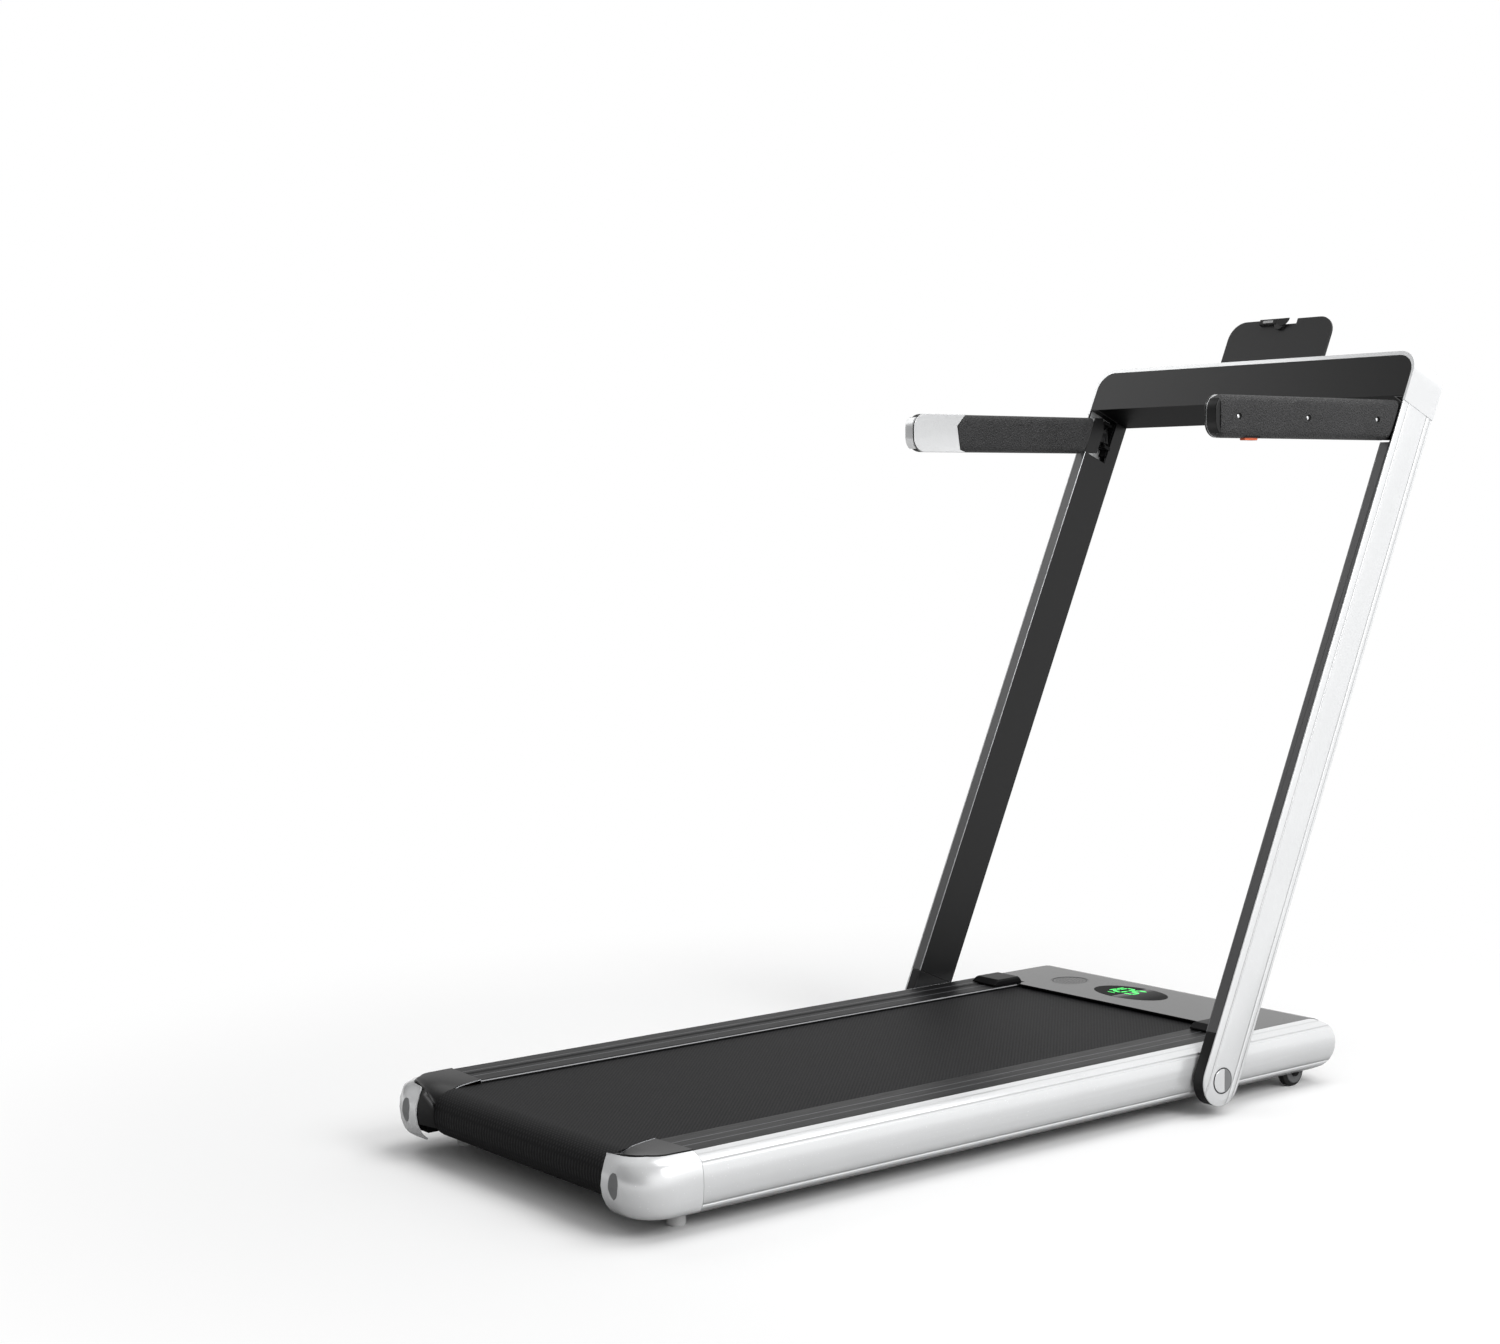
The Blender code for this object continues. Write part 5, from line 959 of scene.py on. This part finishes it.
class TREADMILL_OT_display(bpy.types.Operator):
    """Oval display lens with lit digits, and the speaker's grille"""
    bl_idname = "treadmill.display"
    bl_label = "Display and speaker"

    def execute(self, context):
        colours, sizes = context.scene.treadmill_colours, context.scene.treadmill_sizes
        refine("display_lens", self.lens(), 0.0)
        self.digits(colours.digits, sizes)
        refine("speaker", hood_abs(colours.black), 0.0)
        self.holes(sizes)
        return {"FINISHED"}

    def lens(self):
        """Black acrylic lens with a painted grey sheen on its right half, fading to the rim."""
        material, made = surface("black_acrylic_lens", "#040404", grain=8.0, rough=(0.05, 0.08), depth=0.002,
                                 vary=0.04, IOR=1.03)
        low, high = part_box("display_lens")
        tree = made["tree"]
        parts = add(tree, "ShaderNodeSeparateXYZ", {"Vector": (made["place"], "Object")})
        share = add(tree, "ShaderNodeMapRange", {"From Min": low.x, "From Max": high.x, "Value": (parts, "X")})
        # Painted sheen: grey across the lens's right half, black elsewhere
        lens_sheen = grey_ramp(tree, share, ((0.0, 0.0), (0.47, 0.0), (0.49, 0.22), (0.62, 0.05), (0.90, 0.0)))
        paint = add(tree, "ShaderNodeMixRGB", {"Fac": 1.0, "Color1": made["tint"], "Color2": lens_sheen},
                    blend_type="ADD")
        wire(made, paint, "Base Color")
        return material

    def digits(self, colour, sizes):
        """Seven-segment digits and a small bar, a fifth of a millimetre proud of the lens."""
        low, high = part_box("display_lens")
        middle = (low + high) / 2
        tall = sizes.digit_height
        wide, gap, stroke = tall * 0.56, tall * 0.26, tall * 0.065
        slant, to_left, up = 0.12, 0.022, 0.006
        text = sizes.reading
        left = middle.x - to_left - (len(text) * wide + (len(text) - 1) * gap) / 2
        bottom = middle.y - tall / 2 + up
        bm = bmesh.new()

        def bar(x0, y0, x1, y1, half):
            along = Vector((x1 - x0, y1 - y0)).normalized()
            across = Vector((-along.y, along.x)) * half
            a, b = Vector((x0, y0)) + along * stroke * 0.25, Vector((x1, y1)) - along * stroke * 0.25
            shape = [a, a + along * half + across, b - along * half + across, b, b - along * half - across,
                     a + along * half - across]
            base, top = [[bm.verts.new((p.x + (p.y - bottom) * slant, p.y, high.z + z)) for p in shape]
                         for z in (-0.0001, 0.0002)]
            bm.faces.new(top)
            bm.faces.new(base[::-1])
            for i in range(6):
                j = (i + 1) % 6
                bm.faces.new((base[i], base[j], top[j], top[i]))

        y0, y1, y2 = bottom, bottom + tall / 2, bottom + tall
        for place, digit in enumerate(text):
            x0 = left + place * (wide + gap)
            x1 = x0 + wide
            ends = {"a": (x0, y2, x1, y2), "b": (x1, y1, x1, y2), "c": (x1, y0, x1, y1),
                    "d": (x0, y0, x1, y0), "e": (x0, y0, x0, y1), "f": (x0, y1, x0, y2), "g": (x0, y1, x1, y1)}
            for name in SEGMENTS.get(digit, ""):
                bar(*ends[name], stroke)
        bar_left, bar_y = left + 0.024, bottom - 0.010
        bar(bar_left, bar_y, bar_left + wide, bar_y, stroke * 0.5)
        bmesh.ops.recalc_face_normals(bm, faces=bm.faces)
        piece("display_digits", mesh_of("digits", bm), digit_finish(colour), "deck", angle=0)

    def holes(self, sizes):
        """Rings of small holes over the speaker."""
        low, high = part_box("speaker")
        middle = (low + high) / 2
        # Depth of the holes: matt and nearly black
        dark = finish("speaker_hole_shadow", "#0d0d0d", rough=(0.7, 0.9), depth=0.01, vary=0.1)
        mesh = run_tree("speaker_holes", ring_tree(dark), [(0, 0, 0)], Hole=sizes.hole, Step=sizes.hole_step)
        mesh.transform(Matrix.Translation((middle.x, middle.y, high.z)))
        piece("speaker_holes", mesh, dark, "deck", angle=30)


class TREADMILL_OT_tablet(bpy.types.Operator):
    """Tablet plate with its clip"""
    bl_idname = "treadmill.tablet"
    bl_label = "Tablet plate"

    def execute(self, context):
        # Coarse spark-eroded ABS: matt black
        matt = finish("black_abs_matt", "#0f0f10", rough=(0.45, 0.55), vary=0.1)
        refine("tablet_plate", matt, 0.0006)
        self.clip()
        return {"FINISHED"}

    def clip(self):
        """Sprung clip in the plate's notch: a dark half-round pad and a block with a small pale window."""
        high = max(p.z for p in bar_points("tablet_plate"))
        edge = high - 0.0006
        # Depths from the uprights' middle, towards the front: the block's, the pane's and the pad's faces
        rear, front, pane_face, pad_face = 0.0022, 0.0080, 0.0016, 0.0035
        # Moulded polycarbonate pane: pale and smooth
        window = finish("pale_polycarbonate_window", "#9b9c9c", grain=1.0, rough=(0.2, 0.3), depth=0.01,
                        vary=0.04)
        dark = rubber("dark_rubber_pad", "#101010")
        shape = arc((0.004, edge), 0.0128, 180, 360, 12)
        pad = loft("pad", [[(x, w, u) for x, u in shape] for w in (rear, pad_face)], BAR)
        piece("tablet_clip_pad", pad, dark, "tablet_holder")

        def slab(name, back, face, bottom, top, left, right):
            outline = [(back, bottom), (face, bottom), (face, top), (back, top)]
            return prism(name, outline, left, right, BAR)

        block = slab("block", rear, front, high - 0.0095, edge, -0.044, -0.0088)
        piece("tablet_clip_block", block, dark, "tablet_holder")
        pane = slab("pane", pane_face, rear, high - 0.0075, high - 0.0030, -0.036, -0.016)
        piece("tablet_clip_window", pane, window, "tablet_holder")


class TREADMILL_OT_fasteners(bpy.types.Operator):
    """Screws of the bottom pan and the bright pins of the power inlet"""
    bl_idname = "treadmill.fasteners"
    bl_label = "Fasteners"

    def execute(self, context):
        sizes = context.scene.treadmill_sizes
        low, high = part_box("bottom_pan")
        # Zinc-plated screws: small grey glints
        steel = finish("zinc_plated_screws", "#a8aaac", grain=0.8, rough=(0.25, 0.4), depth=0.01, vary=0.06,
                       Metallic=1.0)
        profile = [(0, 0.0006), (0.0012, 0.0007), (0.0015, 0.0016), (0.0030, 0.0012), (0.0036, 0.0), (0, 0.0)]
        head = turned("pan_screw", profile, (0, 0, 0), (0, 0, -1), 14)
        from_end, from_edge = 0.010, 0.006
        step = (high.x - low.x - 2 * from_end) / (sizes.underside_screws - 1)
        points = [(low.x + from_end + step * i, y, low.z) for i in range(sizes.underside_screws)
                  for y in (low.y + from_edge, high.y - from_edge)]
        piece("pan_screws", scatter("pan_screws", head, points, steel), steel, "deck", angle=30)
        self.pins()
        return {"FINISHED"}

    def pins(self):
        """Nickel-plated sleeves over the inlet's three pins, with rounded ends."""
        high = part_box("power_inlet")[1]
        # Nickel-plated brass: bright and slightly warm
        nickel = finish("nickel_plated_brass", "#c9c6bd", grain=0.8, rough=(0.15, 0.25), depth=0.005,
                        vary=0.04, Metallic=1.0)
        blade_length, proud, recess = 0.0124, 0.0004, 0.0045
        blade = bmesh.new()
        bmesh.ops.create_cube(blade, size=1.0)
        bmesh.ops.scale(blade, vec=(0.0023, blade_length, 0.0043), verts=blade.verts)
        bmesh.ops.bevel(blade, geom=blade.edges[:], offset=0.0004, segments=2, affect="EDGES")
        y = high.y - recess - blade_length / 2 + proud
        # Across the deck and up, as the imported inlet's pins stand
        places = [(0.158, y, 0.042), (0.165, y, 0.045), (0.172, y, 0.042)]
        mesh = scatter("inlet_pins", mesh_of("blade", blade), places, nickel)
        piece("inlet_pins", mesh, nickel, "deck", angle=40)


class TREADMILL_OT_stage(bpy.types.Operator):
    """White floor, soft lamps, a white surround and the camera"""
    bl_idname = "treadmill.stage"
    bl_label = "Stage"

    def execute(self, context):
        colours = context.scene.treadmill_colours
        self.floor(colours.floor)
        self.world()
        self.lamp("key_lamp", (3.4, 0.4, 2.6), (0, 0, 0.35), 2.0, 72.0)
        self.lamp("top_lamp", (0.4, 1.2, 3.8), (0, 0, 0.2), 2.6, 64.0)
        self.lamp("left_lamp", (-3.0, -0.6, 2.6), (0, 0, 0.3), 2.0, 20.0)
        self.camera()
        context.scene.view_settings.view_transform = "Standard"
        return {"FINISHED"}

    def floor(self, colour):
        """Matt floor that keeps the object's shadow and fades to plain white away from it."""
        bm = bmesh.new()
        bmesh.ops.create_grid(bm, x_segments=8, y_segments=8, size=14.0)
        obj = linked("studio_floor", mesh_of("studio_floor", bm))
        material = bpy.data.materials.new("painted_studio_floor")
        material.use_nodes = True
        tree = material.node_tree
        tree.nodes.clear()
        place = add(tree, "ShaderNodeTexCoord")
        away = add(tree, "ShaderNodeVectorMath", {0: (place, "Object")}, operation="LENGTH")
        fade = add(tree, "ShaderNodeMapRange", {"From Min": 0.75, "From Max": 1.6, "Value": (away, "Value")},
                   interpolation_type="SMOOTHSTEP")
        path = add(tree, "ShaderNodeLightPath")
        grain = add(tree, "ShaderNodeTexNoise", {"Scale": 700.0, "Vector": (place, "Object")})
        relief = add(tree, "ShaderNodeBump", {"Strength": 0.2, "Distance": 0.0002, "Height": grain})
        # Darker than its colour to all but the camera, so that it doesn't brighten the undersides
        bounce = (0.42, 0.42, 0.42, 1)
        shade = add(tree, "ShaderNodeMixRGB",
                    {"Color1": bounce, "Color2": colour, "Fac": (path, "Is Camera Ray")})
        matt = add(tree, "ShaderNodeBsdfDiffuse", {"Color": shade, "Normal": relief})
        glow = add(tree, "ShaderNodeEmission", {"Color": (1, 1, 1, 1), "Strength": 1.0})
        seen = add(tree, "ShaderNodeMath", {0: (path, "Is Camera Ray"), 1: (path, "Is Glossy Ray")},
                   operation="MAXIMUM")
        far = add(tree, "ShaderNodeMath", {0: seen, 1: fade}, operation="MULTIPLY")
        mix = add(tree, "ShaderNodeMixShader", {"Fac": far, 1: matt, 2: glow})
        add(tree, "ShaderNodeOutputMaterial", {"Surface": mix})
        obj.data.materials.append(material)

    def world(self):
        """White to the camera; to the object, a room whose walls are bright and dark by direction."""
        world = bpy.data.worlds.new("white_surround")
        bpy.context.scene.world = world
        world.use_nodes = True
        tree = world.node_tree
        tree.nodes.clear()
        path = add(tree, "ShaderNodeLightPath")
        place = add(tree, "ShaderNodeTexCoord")
        parts = add(tree, "ShaderNodeSeparateXYZ", {"Vector": (place, "Generated")})
        heading = add(tree, "ShaderNodeMath", {0: (parts, "Y"), 1: (parts, "X")}, operation="ARCTAN2")
        share = add(tree, "ShaderNodeMapRange", {"From Min": -math.pi, "From Max": math.pi, "Value": heading})
        # Heading in degrees from +X towards +Y, and how bright the wall is there
        walls = ((-180, 0.10), (-165, 0.30), (-150, 0.75), (-138, 0.30), (-100, 0.06), (-60, 0.25),
                 (-30, 1.20), (14, 1.25), (52, 0.90), (84, 1.15), (110, 1.00), (128, 0.95), (150, 0.80),
                 (168, 0.20))
        ring = grey_ramp(tree, share, [((degrees + 180) / 360, bright) for degrees, bright in walls])
        rise = add(tree, "ShaderNodeMapRange", {"From Min": 0.35, "From Max": 0.9, "Value": (parts, "Z")},
                   interpolation_type="SMOOTHSTEP")
        level = add(tree, "ShaderNodeMixRGB", {"Color2": (0.38, 0.38, 0.38, 1), "Fac": rise, "Color1": ring})
        lit = add(tree, "ShaderNodeMath", {0: level, 1: (path, "Is Camera Ray")}, operation="MAXIMUM")
        light = add(tree, "ShaderNodeBackground", {"Color": (1, 1, 1, 1), "Strength": lit})
        add(tree, "ShaderNodeOutputWorld", {"Surface": light})

    def lamp(self, name, place, aim, size, power):
        """Square area lamp, turned towards a point."""
        data = bpy.data.lights.new(name, "AREA")
        data.size = size
        data.energy = power
        obj = linked(name, data)
        obj.location = place
        obj.rotation_euler = (Vector(aim) - Vector(place)).to_track_quat("-Z", "Y").to_euler()

    def camera(self):
        """The photo's camera, as fitted to the photo."""
        data = bpy.data.cameras.new("photo_camera")
        obj = linked("photo_camera", data)
        data.sensor_width = 36.0
        data.lens = 58.62
        data.shift_x = -0.0667
        data.shift_y = 0.032
        data.clip_end = 60.0
        azimuth, pitch, roll = math.radians(50.462), math.radians(5.043), math.radians(-0.452)
        level = math.cos(pitch)
        ahead = Vector((-math.sin(azimuth) * level, math.cos(azimuth) * level, -math.sin(pitch)))
        turn = ahead.to_track_quat("-Z", "Y").to_matrix().to_4x4() @ Matrix.Rotation(roll, 4, "Z")
        obj.matrix_world = Matrix.Translation((2.6158, -2.3289, 0.8669)) @ turn
        bpy.context.scene.camera = obj


OPERATORS = (
    TREADMILL_OT_silver, TREADMILL_OT_black, TREADMILL_OT_deck, TREADMILL_OT_grips, TREADMILL_OT_display,
    TREADMILL_OT_tablet, TREADMILL_OT_fasteners, TREADMILL_OT_stage,
)


class TREADMILL_PT_parts(bpy.types.Panel):
    """Colours, sizes and the steps that dress the treadmill"""
    bl_label = "Folding Treadmill"
    bl_idname = "TREADMILL_PT_parts"
    bl_space_type = "VIEW_3D"
    bl_region_type = "UI"
    bl_category = "Treadmill"

    def draw(self, context):
        scene = context.scene
        for group in (scene.treadmill_colours, scene.treadmill_sizes):
            box = self.layout.box()
            for name in group.__annotations__:
                box.prop(group, name)
        for operator in OPERATORS:
            self.layout.operator(operator.bl_idname)


CLASSES = (TreadmillColours, TreadmillSizes) + OPERATORS + (TREADMILL_PT_parts,)


def register():
    for item in CLASSES:
        bpy.utils.register_class(item)
    bpy.types.Scene.treadmill_colours = PointerProperty(type=TreadmillColours)
    bpy.types.Scene.treadmill_sizes = PointerProperty(type=TreadmillSizes)


def unregister():
    del bpy.types.Scene.treadmill_sizes
    del bpy.types.Scene.treadmill_colours
    for item in reversed(CLASSES):
        bpy.utils.unregister_class(item)


def main():
    register()
    for operator in OPERATORS:
        group, name = operator.bl_idname.split(".")
        getattr(getattr(bpy.ops, group), name)()


if __name__ == "__main__":
    main()
